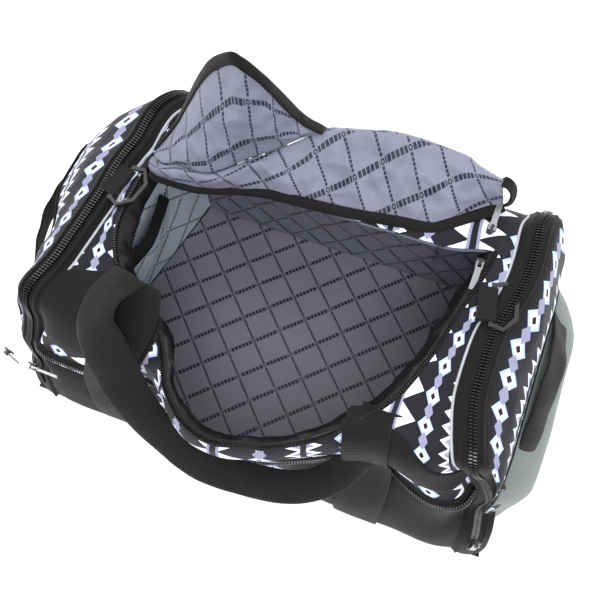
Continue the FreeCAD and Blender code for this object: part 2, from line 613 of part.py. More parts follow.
def pull(name, base, hang, across):
    """A flat pull: a bar through the bail, two short arms and a tab that hangs along hang."""
    arm = "(bail_width / 2 + pull_clear + pull_bar)"
    gap, half = "(bail_width / 2 + pull_clear)", "(pull_bar / 2)"
    tab, eye = "(pull_width / 2)", "(bail_height + pull_bar)"
    points = [(arm, half), ("-" + arm, half), ("-" + arm, "-" + eye), ("-" + tab, "-%s - pull_bar" % eye),
              ("-" + tab, "-pull_length"), (tab, "-pull_length"), (tab, "-%s - pull_bar" % eye),
              (arm, "-" + eye)]
    body = plate(name.title().replace("_", ""), "YZ_Plane", points, "pull_thick", "-pull_thick / 2")
    window = [(gap, "-" + half), ("-" + gap, "-" + half), ("-" + gap, "-" + eye + " + " + half),
              (gap, "-" + eye + " + " + half)]
    cut(body, outline(body, body.Name + "Eye", "YZ_Plane", window, "pull_thick / 2"), "pull_thick")
    up = V(*hang) * -1
    body.Placement = FreeCAD.Placement(V(0, 0, 0),
                                       FreeCAD.Rotation(V(*across).cross(up), V(*across), up, "ZXY"))
    return part(place(body, base), name)


def make_sliders():
    """Every slider stands on its zip; its pull's axis is at the middle of the bail's window."""
    rise = "(slider_clear + slider_thick + bail_height / 2)"
    slant, tilt = math.radians(number(SLANT)), math.radians(number(LID_SLOPE))
    strip = "((band_width - piping_width - end_coil_width) / 2)"
    along = "(piping_width + %s + end_coil_width / 2)" % strip
    for sign, side, height in ((-1, "left", "pocket_height"), (1, "right", "zip_start + slider_length / 2")):
        spots = []
        for out in ("end_coil_proud", "end_coil_proud + " + rise):
            face = "(%s + %s)" % (SLANT_HALF, out)
            reach = "%d * (%s + %s * cos(%s) + %s * sin(%s))" % (sign, MIDDLE, along, SLANT, face, SLANT)
            spots.append((reach,
                          "%s * sin(%s) - %s * cos(%s)" % (along, SLANT, face, SLANT), height))
        outward = (sign * math.sin(slant), -math.cos(slant), 0)
        level = (math.cos(slant), sign * math.sin(slant), 0)
        slider(side + "_end_slider", spots[0], (0, 0, 1), outward)
        pull(side + "_end_pull", spots[1], (0, 0, -1), level)

    top_x = "(mouth_width / 2 - (tape_width + coil_width) / 2)"
    forward = (0, -math.cos(tilt), -math.sin(tilt))
    upward = (0, -math.sin(tilt), math.cos(tilt))
    for name, y_text, hang in (("rear", "(mouth_back + tail_length - slider_length)", (0, 1, 0)),
                               ("front", "(mouth_back - slider_width)", (0, -1, 0))):
        spots = [(top_x, "%s - %s * sin(%s)" % (y_text, lift, LID_SLOPE),
                  "%s + %s * cos(%s)" % (surface(y_text), lift, LID_SLOPE))
                 for lift in ("tape_thick", "(tape_thick + %s)" % rise)]
        slider("main_%s_slider" % name, spots[0], forward, upward)
        level = [c * hang[1] for c in (0, math.cos(tilt), math.sin(tilt))]
        pull("main_%s_pull" % name, spots[1], level, (1, 0, 0))

    spots = (("front_pocket", "-front_length / 2 + slider_length + slider_width",
              "body_depth / 2 + pocket_thick + pocket_coil_proud", "pocket_height + pocket_zip / 2", -1),
             ("inner_pocket", "slider_length * 4", "-body_depth / 2 + wall + inner_thick + tape_thick",
              "back_pocket_high + slider_width / 2", -1))
    for name, x_text, face, z_text, facing in spots:
        slider(name + "_slider", (x_text, "-(%s)" % face, z_text), (1, 0, 0), (0, facing, 0))
        pull(name + "_pull", (x_text, "-(%s + %s)" % (face, rise), z_text), (1, 0, 0), (0, 0, 1))


# ---------------------------------------------------------------- build, check, write
make_floor()
make_walls()
make_top()
make_ends()
make_front_pocket()
make_lid()
make_handles()
make_grabs()
make_rings()
make_inner_pockets()
make_sliders()
doc.recompute()

for item in doc.Objects:
    if "Invalid" in item.State or "Error" in item.State:
        raise RuntimeError("failed: " + item.Label)
os.makedirs("parts", exist_ok=True)
for item in PARTS:
    if item.Shape.isNull() or not item.Shape.isValid():
        raise RuntimeError("bad shape: " + item.Label)
for item in PARTS:
    item.Shape.exportStep("parts/" + item.Label + ".step")
    print("%-24s %9.0f mm3 %d solid(s)" % (item.Label, item.Shape.Volume, len(item.Shape.Solids)))
print(len(PARTS), "sub-parts")
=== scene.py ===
"""An open sports gear bag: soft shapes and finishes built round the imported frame.

Lengths are in millimetres until a mesh is made. X runs along the bag, Y to its back, Z up.
"""
import math

import bpy
import numpy as np
from mathutils import Matrix, Vector, noise


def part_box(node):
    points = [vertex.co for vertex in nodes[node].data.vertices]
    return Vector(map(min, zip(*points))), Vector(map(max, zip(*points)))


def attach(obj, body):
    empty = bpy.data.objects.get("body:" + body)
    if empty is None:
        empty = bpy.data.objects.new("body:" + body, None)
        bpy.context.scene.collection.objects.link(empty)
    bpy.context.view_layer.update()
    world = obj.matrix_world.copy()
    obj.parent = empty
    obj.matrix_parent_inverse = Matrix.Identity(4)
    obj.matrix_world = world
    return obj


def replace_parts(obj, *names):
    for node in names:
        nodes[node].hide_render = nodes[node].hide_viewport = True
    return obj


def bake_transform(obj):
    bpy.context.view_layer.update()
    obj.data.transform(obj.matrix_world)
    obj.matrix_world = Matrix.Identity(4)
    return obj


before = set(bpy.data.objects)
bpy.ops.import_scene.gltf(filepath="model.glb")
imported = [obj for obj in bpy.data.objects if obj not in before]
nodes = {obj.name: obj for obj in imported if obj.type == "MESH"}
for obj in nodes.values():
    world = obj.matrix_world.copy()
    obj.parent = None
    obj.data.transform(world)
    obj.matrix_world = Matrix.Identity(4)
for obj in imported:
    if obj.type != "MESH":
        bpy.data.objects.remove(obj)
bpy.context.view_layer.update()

MM = 0.001


def node_box(name):
    low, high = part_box(name)
    return np.array(low) / MM, np.array(high) / MM


FRONT = node_box("front_wall")[0][1]
BACK = node_box("back_wall")[1][1]
FRONT_REACH = node_box("front_wall")[1][0]
BACK_REACH = node_box("back_wall")[1][0]
CAP_HIGH = node_box("right_end_cap")[1]
CAP_REACH = CAP_HIGH[0]
FLOOR_TOP = node_box("floor_lining")[1][2]
# Radius of the body's long top edges, height of its top above the front wall, and rise per mm to the back.
CORNER = 45.0
TOP_FRONT = 222.0
TOP_SLOPE = 0.058
END_TURN = math.atan((FRONT_REACH - BACK_REACH) / (BACK - FRONT))
MOUTH_HALF = node_box("main_zip_tape")[1][0]
MOUTH_FRONT = node_box("main_zip_tape")[0][1]
HINGE_Y = node_box("main_zip_coil")[1][1]
MOUTH_TURN = 120.0
# How much of the mouth's edge counts as its left side, and as its right.
MOUTH_SIDE_SHARE = 0.2751
# How far the right end cap leans in.
RIGHT_LEAN = 30.0
# Where the lattice starts on the floor, and how many columns of the gusset are its black foot.
FLOOR_LATTICE_START = (201, -91)
FOOT_COLUMNS = 14


# ------------------------------------------------------------------ colour and shader arithmetic
def rgb(red, green, blue):
    """A colour given as the usual 0 to 255 numbers, as the shader wants it."""
    return tuple((c / 255) ** 2.2 for c in (red, green, blue)) + (1.0,)


NAVY = rgb(12, 13, 26)
WHITE = rgb(226, 230, 248)
LAVENDER = rgb(134, 134, 162)
PALE_BLUE = rgb(168, 184, 222)
LINING = rgb(112, 113, 131)
LINING_MARK = rgb(26, 27, 46)
POCKET = rgb(196, 208, 222)
BLACK = rgb(13, 13, 14)
DEEP = rgb(6, 6, 7)
GRAY = rgb(90, 98, 97)


class Field:
    """A number at each point of a surface. Arithmetic on it adds Math nodes to its material."""

    def __init__(self, tree, socket):
        self.tree, self.socket = tree, socket

    def math(self, kind, *others):
        node = self.tree.nodes.new("ShaderNodeMath")
        node.operation = kind
        for place, value in enumerate((self,) + others):
            if isinstance(value, Field):
                self.tree.links.new(value.socket, node.inputs[place])
            else:
                node.inputs[place].default_value = value
        return Field(self.tree, node.outputs[0])

    def __add__(self, other):
        return self.math("ADD", other)

    def __sub__(self, other):
        return self.math("SUBTRACT", other)

    def __mul__(self, other):
        return self.math("MULTIPLY", other)

    def __truediv__(self, other):
        return self.math("DIVIDE", other)

    def fold(self, period):
        """Rises from 0 to 1 and falls back once in each period."""
        return self.math("PINGPONG", period / 2) / (period / 2)

    def part(self):
        return self.math("FRACT")

    def size(self):
        return self.math("ABSOLUTE")

    def under(self, limit):
        return self.math("LESS_THAN", limit)

    def over(self, limit):
        return self.math("GREATER_THAN", limit)

    def within(self, low, high):
        return self.over(low) * self.under(high)

    def either(self, other):
        return self.math("MAXIMUM", other)


class Paint:
    """A procedural material under construction: colour layers, bumps and one shader."""

    def __init__(self, name, colour, roughness, source="UV", **shader):
        self.material = bpy.data.materials.new(name)
        self.material.use_nodes = True
        self.tree = self.material.node_tree
        self.shader = self.tree.nodes["Principled BSDF"]
        self.shader.inputs["Roughness"].default_value = roughness
        for key, value in shader.items():
            self.shader.inputs[key.replace("_", " ")].default_value = value
        coords = self.tree.nodes.new("ShaderNodeTexCoord")
        self.place = coords.outputs[source]
        split = self.tree.nodes.new("ShaderNodeSeparateXYZ")
        self.tree.links.new(self.place, split.inputs[0])
        self.u, self.v, self.w = (Field(self.tree, split.outputs[k]) for k in range(3))
        self.colour = self.flat(colour)
        self.bump = None

    def flat(self, colour):
        node = self.tree.nodes.new("ShaderNodeRGB")
        node.outputs[0].default_value = colour
        return node.outputs[0]

    def layer(self, mask, colour):
        """Lays a colour, or another colour socket, over the present one where the mask is 1."""
        mix = self.tree.nodes.new("ShaderNodeMix")
        mix.data_type = "RGBA"
        self.tree.links.new(mask.socket, mix.inputs["Factor"])
        self.tree.links.new(self.colour, mix.inputs["A"])
        if isinstance(colour, tuple):
            mix.inputs["B"].default_value = colour
        else:
            self.tree.links.new(colour, mix.inputs["B"])
        self.colour = mix.outputs["Result"]
        return self

    def noise(self, scale, detail=3.0):
        node = self.tree.nodes.new("ShaderNodeTexNoise")
        node.inputs["Scale"].default_value = scale
        node.inputs["Detail"].default_value = detail
        self.tree.links.new(self.place, node.inputs["Vector"])
        return Field(self.tree, node.outputs["Fac"])

    def raise_by(self, height, distance, strength=1.0):
        node = self.tree.nodes.new("ShaderNodeBump")
        node.inputs["Distance"].default_value = distance
        node.inputs["Strength"].default_value = strength
        self.tree.links.new(height.socket, node.inputs["Height"])
        if self.bump:
            self.tree.links.new(self.bump, node.inputs["Normal"])
        self.bump = node.outputs["Normal"]
        return self

    def mottle(self, scale, amount, colour):
        """Slow variation of the colour, as handling and dye leave it."""
        return self.layer((self.noise(scale) - 0.35).math("MAXIMUM", 0.0) * amount, colour)

    def weave(self, pitch, depth):
        """Plain weave: the two sets of threads pass over and under each other."""
        across = (self.u * (math.tau / pitch)).math("SINE")
        along = (self.v * (math.tau / pitch)).math("SINE")
        return self.raise_by(across * along, depth, 0.5)

    def done(self):
        self.tree.links.new(self.colour, self.shader.inputs["Base Color"])
        if self.bump:
            self.tree.links.new(self.bump, self.shader.inputs["Normal"])
        return self.material


def printed(name, shift=0.0):
    """Polyester printed with a generic pattern: rows of triangles, toothed bands and diamonds on navy."""
    paint = Paint(name, NAVY, 0.62, Sheen_Weight=0.05, Specular_IOR_Level=0.25)
    band = (paint.u + shift).fold(0.16)
    tooth = paint.v.fold(0.030)
    small = paint.v.fold(0.015)
    first = band - tooth * 0.30
    paint.layer(first.under(0.04), WHITE)
    paint.layer(band.under(0.07), LAVENDER)
    paint.layer(band.under(0.035), NAVY)
    middle = (band - 0.52).size()
    paint.layer((tooth * 0.17 - middle).over(0.03), PALE_BLUE)
    paint.layer((tooth * 0.17 - middle).over(0.075), WHITE)
    paint.layer((tooth * 0.17 - middle).over(0.125), NAVY)
    opposite = tooth * -1.0 + 1.0
    paint.layer((opposite * 0.12 - middle).over(0.04), LAVENDER)
    last = (band - 1.0).size()
    paint.layer((last - small * 0.16).under(0.05), WHITE)
    paint.layer((last - small * 0.16).under(-0.03), LAVENDER)
    paint.layer(last.under(0.035), NAVY)
    paint.mottle(9.0, 0.35, NAVY)
    paint.weave(0.0011, 0.0001)
    return paint.done()


def lattice_cloth(name, ground, pitch=0.031):
    """Satin lining with a diagonal lattice: heavy dashes one way, light dashes the other, rings between."""
    paint = Paint(name, ground, 0.5, Sheen_Weight=0.1, Specular_IOR_Level=0.35)
    one = (paint.u + paint.v) * (0.7071 / pitch)
    two = (paint.u - paint.v) * (0.7071 / pitch)
    off_one = ((one + 0.5).part() - 0.5).size() * pitch
    off_two = ((two + 0.5).part() - 0.5).size() * pitch
    heavy = off_two.under(0.0024) * (one * (pitch / 0.0047)).part().under(0.78) * off_one.over(0.0032)
    light = off_one.under(0.0013) * (two * (pitch / 0.0031)).part().under(0.8) * off_two.over(0.0030)
    ring = (off_one * off_one + off_two * off_two).math("SQRT").within(0.0011, 0.0023)
    paint.mottle(5.0, 0.5, tuple(c * 0.75 for c in ground[:3]) + (1.0,))
    paint.layer(heavy.either(light).either(ring), LINING_MARK)
    paint.raise_by(paint.noise(38.0, 4.0), 0.0022, 0.55)
    paint.weave(0.0012, 0.0001)
    return paint.done()


def plain_cloth(name, colour, roughness=0.75, sheen=0.05, pitch=0.0014, depth=0.0002, source="UV"):
    paint = Paint(name, colour, roughness, source, Sheen_Weight=sheen, Specular_IOR_Level=0.22)
    paint.mottle(14.0, 0.6, tuple(min(c * 1.7, 1.0) for c in colour[:3]) + (1.0,))
    paint.weave(pitch, depth)
    paint.raise_by(paint.noise(60.0, 4.0), 0.0008, 0.3)
    return paint.done()


def mesh_cloth(name):
    """Open air mesh: rows of small round holes."""
    paint = Paint(name, rgb(24, 24, 25), 0.8, Sheen_Weight=0.03, Specular_IOR_Level=0.15)
    across = ((paint.u / 0.004 + (paint.v / 0.004).math("FLOOR") * 0.5).part() - 0.5).size()
    along = ((paint.v / 0.004).part() - 0.5).size()
    hole = (across * across + along * along).math("SQRT").under(0.3)
    paint.layer(hole, rgb(8, 8, 9))
    paint.raise_by(hole * -1.0, 0.0008, 0.8)
    return paint.done()


def ribbed(name, colour, source="UV", pitch=0.0022):
    """Woven webbing: ribs across its length, and fine threads along it."""
    paint = Paint(name, colour, 0.68, source, Sheen_Weight=0.06, Specular_IOR_Level=0.22)
    ribs = (paint.v * (math.tau / pitch)).math("SINE")
    threads = (paint.u * (math.tau / 0.0016)).math("SINE")
    paint.mottle(22.0, 0.7, tuple(c * 2.0 for c in colour[:3]) + (1.0,))
    paint.raise_by(ribs + threads * 0.4, 0.0004, 0.7)
    return paint.done()


def satin(name, colour):
    paint = Paint(name, colour, 0.38, Sheen_Weight=0.02, Specular_IOR_Level=0.25)
    paint.raise_by(paint.noise(55.0, 5.0), 0.003, 0.6)
    paint.mottle(18.0, 0.5, tuple(c * 2.0 for c in colour[:3]) + (1.0,))
    return paint.done()


def hard(name, colour, roughness, metallic=0.0, source="Object", grain=220.0):
    paint = Paint(name, colour, roughness, source, Metallic=metallic)
    paint.mottle(40.0, 0.5, tuple(min(c * 1.8, 1.0) for c in colour[:3]) + (1.0,))
    paint.raise_by(paint.noise(grain, 3.0), 0.0003, 0.35)
    return paint.done()


PRINT = printed("printed_fabric")
PRINT_GUSSET = printed("printed_fabric_gusset", 0.03)
LATTICE = lattice_cloth("lining_fabric", LINING)
LATTICE_DIM = lattice_cloth("lining_fabric_floor", rgb(112, 112, 122), 0.035)
POCKET_CLOTH = lattice_cloth("pocket_fabric", POCKET, 0.05)
BLACK_CLOTH = plain_cloth("black_fabric", BLACK)
BLACK_CLOTH_CAD = plain_cloth("black_fabric_frame", BLACK, source="Object")
GRAY_CLOTH = plain_cloth("gray_fabric", GRAY, 0.7, 0.2)
MESH = mesh_cloth("mesh_fabric")
WEBBING = ribbed("black_webbing", rgb(10, 10, 11))
WEBBING_CAD = ribbed("black_webbing_frame", rgb(10, 10, 11), "Object")
TAPE = plain_cloth("zip_tape", DEEP, 0.7, 0.05, 0.0016, 0.0003)
SATIN = satin("facing_fabric", rgb(8, 8, 9))
COIL = hard("zip_coil", rgb(16, 16, 17), 0.28)
PLASTIC = hard("ring_plastic", rgb(30, 30, 31), 0.42)
METAL = hard("slider_metal", rgb(70, 70, 74), 0.3, 0.9)
PULL = hard("pull_metal", rgb(150, 152, 156), 0.32, 0.85)
PIPE = hard("piping", rgb(150, 152, 158), 0.45)


# ------------------------------------------------------------------ meshes
def add_mesh(name, verts, faces, uvs, material, smooth=True):
    """verts in millimetres; uvs, one per vertex, in millimetres too."""
    mesh = bpy.data.meshes.new(name)
    mesh.from_pydata((np.asarray(verts, float) * MM).tolist(), [], faces)
    obj = bpy.data.objects.new(name, mesh)
    bpy.context.scene.collection.objects.link(obj)
    mesh.materials.append(material)
    if uvs is not None:
        layer = mesh.uv_layers.new(name="UVMap")
        corner = np.zeros(len(mesh.loops), np.int32)
        mesh.loops.foreach_get("vertex_index", corner)
        layer.data.foreach_set("uv", (np.asarray(uvs, float)[corner] * MM).astype(np.float32).ravel())
    mesh.polygons.foreach_set("use_smooth", [smooth] * len(mesh.polygons))
    mesh.update()
    return obj


def grid_faces(rows, columns, wrap=False):
    faces = []
    for i in range(rows - 1):
        for j in range(columns if wrap else columns - 1):
            k = (j + 1) % columns
            faces.append((i * columns + j, i * columns + k, (i + 1) * columns + k, (i + 1) * columns + j))
    return faces


def grid_uvs(grid):
    """Lengths along the two directions of a grid, taken along its middle lines."""
    down = np.linalg.norm(np.diff(grid, axis=0), axis=2).mean(axis=1)
    across = np.linalg.norm(np.diff(grid, axis=1), axis=2).mean(axis=0)
    v = np.concatenate([[0], np.cumsum(down)])
    u = np.concatenate([[0], np.cumsum(across)])
    return np.stack(np.meshgrid(u, v), axis=2)


def panel(name, grid, material, uvs=None, wrap=False, thick=0.0, offset=-1.0, back=None, smooth=1):
    """A cloth panel from a grid of points. A second material, if given, goes on its other face."""
    grid = np.asarray(grid, float)
    rows, columns = grid.shape[:2]
    uvs = grid_uvs(grid) if uvs is None else np.asarray(uvs, float)
    obj = add_mesh(name, grid.reshape(-1, 3), grid_faces(rows, columns, wrap), uvs.reshape(-1, 2), material)
    if back:
        obj.data.materials.append(back)
    if thick:
        solid = obj.modifiers.new("thickness", "SOLIDIFY")
        solid.thickness = thick * MM
        solid.offset = offset
        solid.material_offset = 1 if back else 0
    if smooth:
        obj.modifiers.new("smooth", "SUBSURF").levels = smooth
        obj.modifiers["smooth"].render_levels = smooth
    return obj


def apply_modifiers(obj):
    """Bakes the modifiers into the mesh."""
    graph = bpy.context.evaluated_depsgraph_get()
    mesh = bpy.data.meshes.new_from_object(obj.evaluated_get(graph))
    obj.modifiers.clear()
    obj.data = mesh
    return obj


def spline(points, count):
    """Even points along a smooth curve through the given ones."""
    pts = np.asarray(points, float)
    pts = np.vstack([2 * pts[0] - pts[1], pts, 2 * pts[-1] - pts[-2]])
    fine = []
    for a, b, c, e in zip(pts, pts[1:], pts[2:], pts[3:]):
        t = np.linspace(0, 1, 24, endpoint=False)[:, None]
        fine.append(0.5 * (2 * b + (c - a) * t + (2 * a - 5 * b + 4 * c - e) * t ** 2
                           + (3 * b - a - 3 * c + e) * t ** 3))
    fine = np.vstack(fine + [pts[-2][None]])
    return resample(fine, count)


def resample(line, count):
    line = np.asarray(line, float)
    run = np.concatenate([[0], np.cumsum(np.linalg.norm(np.diff(line, axis=0), axis=1))])
    want = np.linspace(0, run[-1], count)
    return np.stack([np.interp(want, run, line[:, k]) for k in range(line.shape[1])], axis=1)


def unit(vectors):
    return vectors / np.maximum(np.linalg.norm(vectors, axis=-1, keepdims=True), 1e-9)


def tangents(line):
    return unit(np.gradient(np.asarray(line, float), axis=0))


def crumple(points, scale, seed):
    """Smooth noise from -1 to 1 at each point; scale is the size of a lump in millimetres."""
    shift = Vector((seed * 17.3, seed * 5.1, seed * 9.7))
    flat = np.asarray(points, float).reshape(-1, 3) / scale
    values = np.array([noise.noise(Vector(p) + shift) for p in flat])
    return values.reshape(np.asarray(points).shape[:-1])


def creases(points, scale, seed):
    """Noise with sharp ridges, for folds."""
    return 1.0 - 2.0 * np.abs(crumple(points, scale, seed)) ** 0.8


# ------------------------------------------------------------------ the body's own surface
def profile_table():
    """The bag's outline from the front floor edge over the top to the back floor edge."""
    front_z = TOP_FRONT + TOP_SLOPE * CORNER - CORNER
    back_z = TOP_FRONT + TOP_SLOPE * (BACK - CORNER - FRONT) - CORNER
    turn = np.linspace(0, math.pi / 2, 16)
    line = [(FRONT, 0.0)]
    line += [(FRONT + CORNER * (1 - math.cos(a)), front_z + CORNER * math.sin(a)) for a in turn]
    line += [(BACK - CORNER * (1 - math.sin(a)), back_z + CORNER * math.cos(a)) for a in turn]
    line += [(BACK, 0.0)]
    return np.array(line)


PROFILE = profile_table()
RUN = np.concatenate([[0], np.cumsum(np.linalg.norm(np.diff(PROFILE, axis=0), axis=1))])
AROUND = RUN[-1]


def run_at(y):
    """Length along the outline at which its upper part reaches y."""
    return np.interp(y, PROFILE[1:-1, 0], RUN[1:-1])


def plain_skin(x, s):
    y = np.interp(s, RUN, PROFILE[:, 0])
    z = np.interp(s, RUN, PROFILE[:, 1])
    return np.stack([x + 0 * s, y, z], axis=-1)


def end_x(s):
    """Half-length of the body where its outline has run s."""
    y = np.interp(s, RUN, PROFILE[:, 0])
    return FRONT_REACH + (BACK_REACH - FRONT_REACH) * (y - FRONT) / (BACK - FRONT)


def mouth_ideal():
    """The cut-out's edge in plan, from the left end of the hinge round the front to its right end."""
    line = [(-MOUTH_HALF, HINGE_Y)]
    for a in np.linspace(math.pi, 1.5 * math.pi, 24):
        line.append((-MOUTH_HALF + MOUTH_TURN + MOUTH_TURN * math.cos(a),
                     MOUTH_FRONT + MOUTH_TURN + MOUTH_TURN * math.sin(a)))
    for a in np.linspace(1.5 * math.pi, 2 * math.pi, 24):
        line.append((MOUTH_HALF - MOUTH_TURN + MOUTH_TURN * math.cos(a),
                     MOUTH_FRONT + MOUTH_TURN + MOUTH_TURN * math.sin(a)))
    line.append((MOUTH_HALF, HINGE_Y))
    return np.array(line)


# The open mouth as it sags: from the left end of the hinge round the front to the right end.
MOUTH_EDGE = [(-178, 80, 240), (-182, 30, 235), (-181, -10, 232), (-175, -30, 230), (-162, -51, 229),
              (-145, -71, 228), (-128, -82, 226), (-105, -97, 223), (-89, -108, 221), (-77, -126, 220),
              (-64, -148, 220), (-50, -164, 220), (-32, -176, 220), (-10, -181, 220), (15, -177, 220),
              (49, -166, 220), (75, -153, 222), (97, -137, 224), (115, -118, 226), (131, -99, 228),
              (144, -79, 230), (152, -58, 232), (163, -20, 235), (171, 16, 237), (180, 52, 239),
              (186, 86, 241)]
# How far the front wall is pushed in or out, as (along the bag, up the wall, shift in y).
FRONT_DENTS = [(-242, 149, 18), (-165, 149, 12), (-90, 149, 24), (-53, 149, -6), (-14, 149, -13),
               (15, 149, -13), (70, 149, 4), (113, 149, 26), (150, 149, 33), (190, 149, 15), (237, 149, 18),
               (-240, 75, 6), (-158, 75, -1), (-90, 75, 6), (-14, 75, -8), (60, 75, -2), (126, 75, -6),
               (190, 75, -2), (240, 75, 6)]
# How far each end of the body leans, as (side, along the outline, shift in x, y and z).
END_DENTS = [(-1, 80, 12, 16, 0), (1, 85, -8, 34, 0), (-1, 150, 27, 27, 0), (1, 150, -15, 42, 0),
             (-1, 185, 27, 38, 0), (1, 182, -28, 44, 0), (-1, 225, 26, 24, 0), (1, 225, -36, 14, 0),
             (-1, 298, 28, 0, 0), (1, 298, -40, 0, -1), (-1, 367, 24, 0, 0), (1, 367, -27, 0, -2),
             (-1, 440, 20, 0, 3), (1, 440, 0, 0, 2), (-1, 500, 23, 6, 12), (1, 500, 16, 0, 4),
             (-1, 600, 15, 6, 0), (1, 600, 8, 4, 0)]


def dent_table():
    """Control points of the slump: place on the flat surface, and shift."""
    places, shifts = [], []
    ideal = resample(mouth_ideal(), 34)
    edge = spline(MOUTH_EDGE, 34)
    for (x, y), target in zip(ideal, edge):
        s = run_at(y)
        places.append((x, s))
        shifts.append(target - plain_skin(np.array(x), s))
    for x, s, dy in FRONT_DENTS:
        places.append((x, s))
        shifts.append((0, dy, 0))
    for side, s, dx, dy, dz in END_DENTS:
        places.append((side * end_x(s), s))
        shifts.append((dx, dy, dz))
    for x in np.linspace(-1, 1, 9):
        for s in (0.0, AROUND - 60, AROUND):
            places.append((x * end_x(s), s))
            shifts.append((0, 0, 0))
        places.append((x * MOUTH_HALF, run_at(HINGE_Y + 50)))
        shifts.append((0, 0, -3 + 3 * x * x))
    for x in np.linspace(-0.8, 0.8, 7):
        places.append((x * MOUTH_HALF, run_at(HINGE_Y)))
        shifts.append((0, 0, -8 + 8 * x * x))
    return np.array(places, float), np.array(shifts, float)


def bend_kernel(distance):
    return distance ** 2 * np.log(np.maximum(distance, 1e-6))


PLACES, SHIFTS = dent_table()
GAPS = np.linalg.norm(PLACES[:, None] - PLACES[None], axis=2) / 100
BASIS = np.column_stack([np.ones(len(PLACES)), PLACES / 100])
SYSTEM = np.block([[bend_kernel(GAPS) + 0.02 * np.eye(len(PLACES)), BASIS],
                   [BASIS.T, np.zeros((3, 3))]])
WEIGHTS = np.linalg.lstsq(SYSTEM, np.vstack([SHIFTS, np.zeros((3, 3))]), rcond=None)[0]


def slump(x, s):
    """Shift of the sagging skin from the plain one."""
    flat = np.stack([x + 0 * s, s + 0 * x], axis=-1).reshape(-1, 2)
    gaps = np.linalg.norm(flat[:, None] - PLACES[None], axis=2) / 100
    terms = np.column_stack([bend_kernel(gaps), np.ones(len(flat)), flat / 100])
    return (terms @ WEIGHTS).reshape(np.broadcast(x, s).shape + (3,))


def skin(x, s, lift=0.0):
    """Point on the slumped body, x along the bag and s round its outline, lifted off the surface."""
    x, s = np.broadcast_arrays(np.asarray(x, float), np.asarray(s, float))

    def place(px, ps):
        return plain_skin(px, np.clip(ps, 0, AROUND)) + slump(px, np.clip(ps, 0, AROUND))

    here = place(x, s)
    along = place(x + 2, s) - place(x - 2, s)
    round_it = place(x, s + 2) - place(x, s - 2)
    normal = unit(np.cross(along, round_it))
    ripple = 1.6 * crumple(here, 34.0, 3) + 1.2 * creases(here, 60.0, 5)
    ripple = ripple * np.clip(s / 60, 0, 1) * np.clip((AROUND - s) / 60, 0, 1)
    return here + normal * (np.asarray(lift, float) + ripple)[..., None]


# ------------------------------------------------------------------ mouth
RIM = resample(mouth_ideal(), 240)


def rim_flat(offset):
    """Places on the flat surface at a distance outside the mouth's edge."""
    flat = np.stack([RIM[:, 0], run_at(RIM[:, 1])], axis=1)
    tangent = tangents(flat)
    outward = np.stack([tangent[:, 1], -tangent[:, 0]], axis=1)
    outward[0] = (-1, 0)
    outward[-1] = (1, 0)
    return flat + outward * offset


def rim_line(offset, lift=0.0):
    flat = rim_flat(offset)
    return skin(flat[:, 0], flat[:, 1], lift)


def ring_places():
    """Places on the flat surface, in rings from the mouth's edge out to the body's own edge."""
    counts = {"left": 56, "front": 72, "right": 56, "back": 40}
    half = int(len(RIM) * MOUTH_SIDE_SHARE)
    flat = rim_flat(0.0)
    parts = {"left": flat[:half + 1],
             "front": flat[half:len(RIM) - half],
             "right": flat[len(RIM) - half - 1:],
             "back": np.array([flat[-1], flat[0]])}
    run = np.linspace(0, AROUND, 120)
    sides = {"left": np.stack([-end_x(run[::-1]), run[::-1]], 1),
             "front": np.array([(-end_x(0.0), 0.0), (end_x(0.0), 0.0)]),
             "right": np.stack([end_x(run), run], 1),
             "back": np.array([(end_x(AROUND), AROUND), (-end_x(AROUND), AROUND)])}
    inner = np.vstack([resample(parts[k], n + 1)[:-1] for k, n in counts.items()])
    outer = np.vstack([resample(sides[k], n + 1)[:-1] for k, n in counts.items()])
    share = np.linspace(0, 1, 30)[:, None, None] ** 1.25
    return inner[None] * (1 - share) + outer[None] * share


def make_body():
    flat = ring_places()
    shell = panel("body_shell", skin(flat[..., 0], flat[..., 1]), PRINT, flat, wrap=True, thick=1.6)
    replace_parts(shell, "front_wall", "back_wall", "left_top_panel", "right_top_panel", "front_top_panel",
                "back_top_panel")
    inside = panel("body_lining", skin(flat[..., 0], flat[..., 1], -4.0), LATTICE, flat, wrap=True)
    for obj, slot in ((shell, "printed_fabric"), (inside, "lining_fabric")):
        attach(obj, "bag")


def make_end_walls():
    for side, name in ((-1, "left"), (1, "right")):
        run = np.linspace(4, AROUND - 4, 90)
        top = skin(side * (end_x(run) - 3), run, -4.5)
        foot = top.copy()
        foot[:, 0] = side * (end_x(run) - 3)
        foot[:, 2] = FLOOR_TOP + 1
        share = np.linspace(0, 1, 20)[:, None, None]
        grid = top[None] * (1 - share) + foot[None] * share
        swell = 7 * crumple(grid, 70.0, 11) * np.sin(math.pi * share[..., 0])
        grid[..., 0] -= side * np.abs(swell)
        cloth = POCKET_CLOTH if side < 0 else LATTICE
        wall = panel(name + "_inner_wall", grid, cloth, grid[..., 1:])
        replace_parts(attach(wall, "bag"), name + "_end_wall")


def make_floor():
    y, along = np.meshgrid(np.linspace(FRONT + 5, BACK - 5, 60), np.linspace(-1, 1, 90), indexing="ij")
    reach = FRONT_REACH + (BACK_REACH - FRONT_REACH) * (y - FRONT) / (BACK - FRONT) - 5
    grid = np.stack([along * reach, y, np.full_like(y, FLOOR_TOP)], axis=-1)
    grid[..., 2] += 2.0 + 1.6 * crumple(grid, 80.0, 2) + 1.0 * creases(grid, 45.0, 8)
    floor = panel("floor_cloth", grid, LATTICE_DIM, grid[..., :2] + FLOOR_LATTICE_START)
    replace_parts(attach(floor, "bag"), "floor_lining")


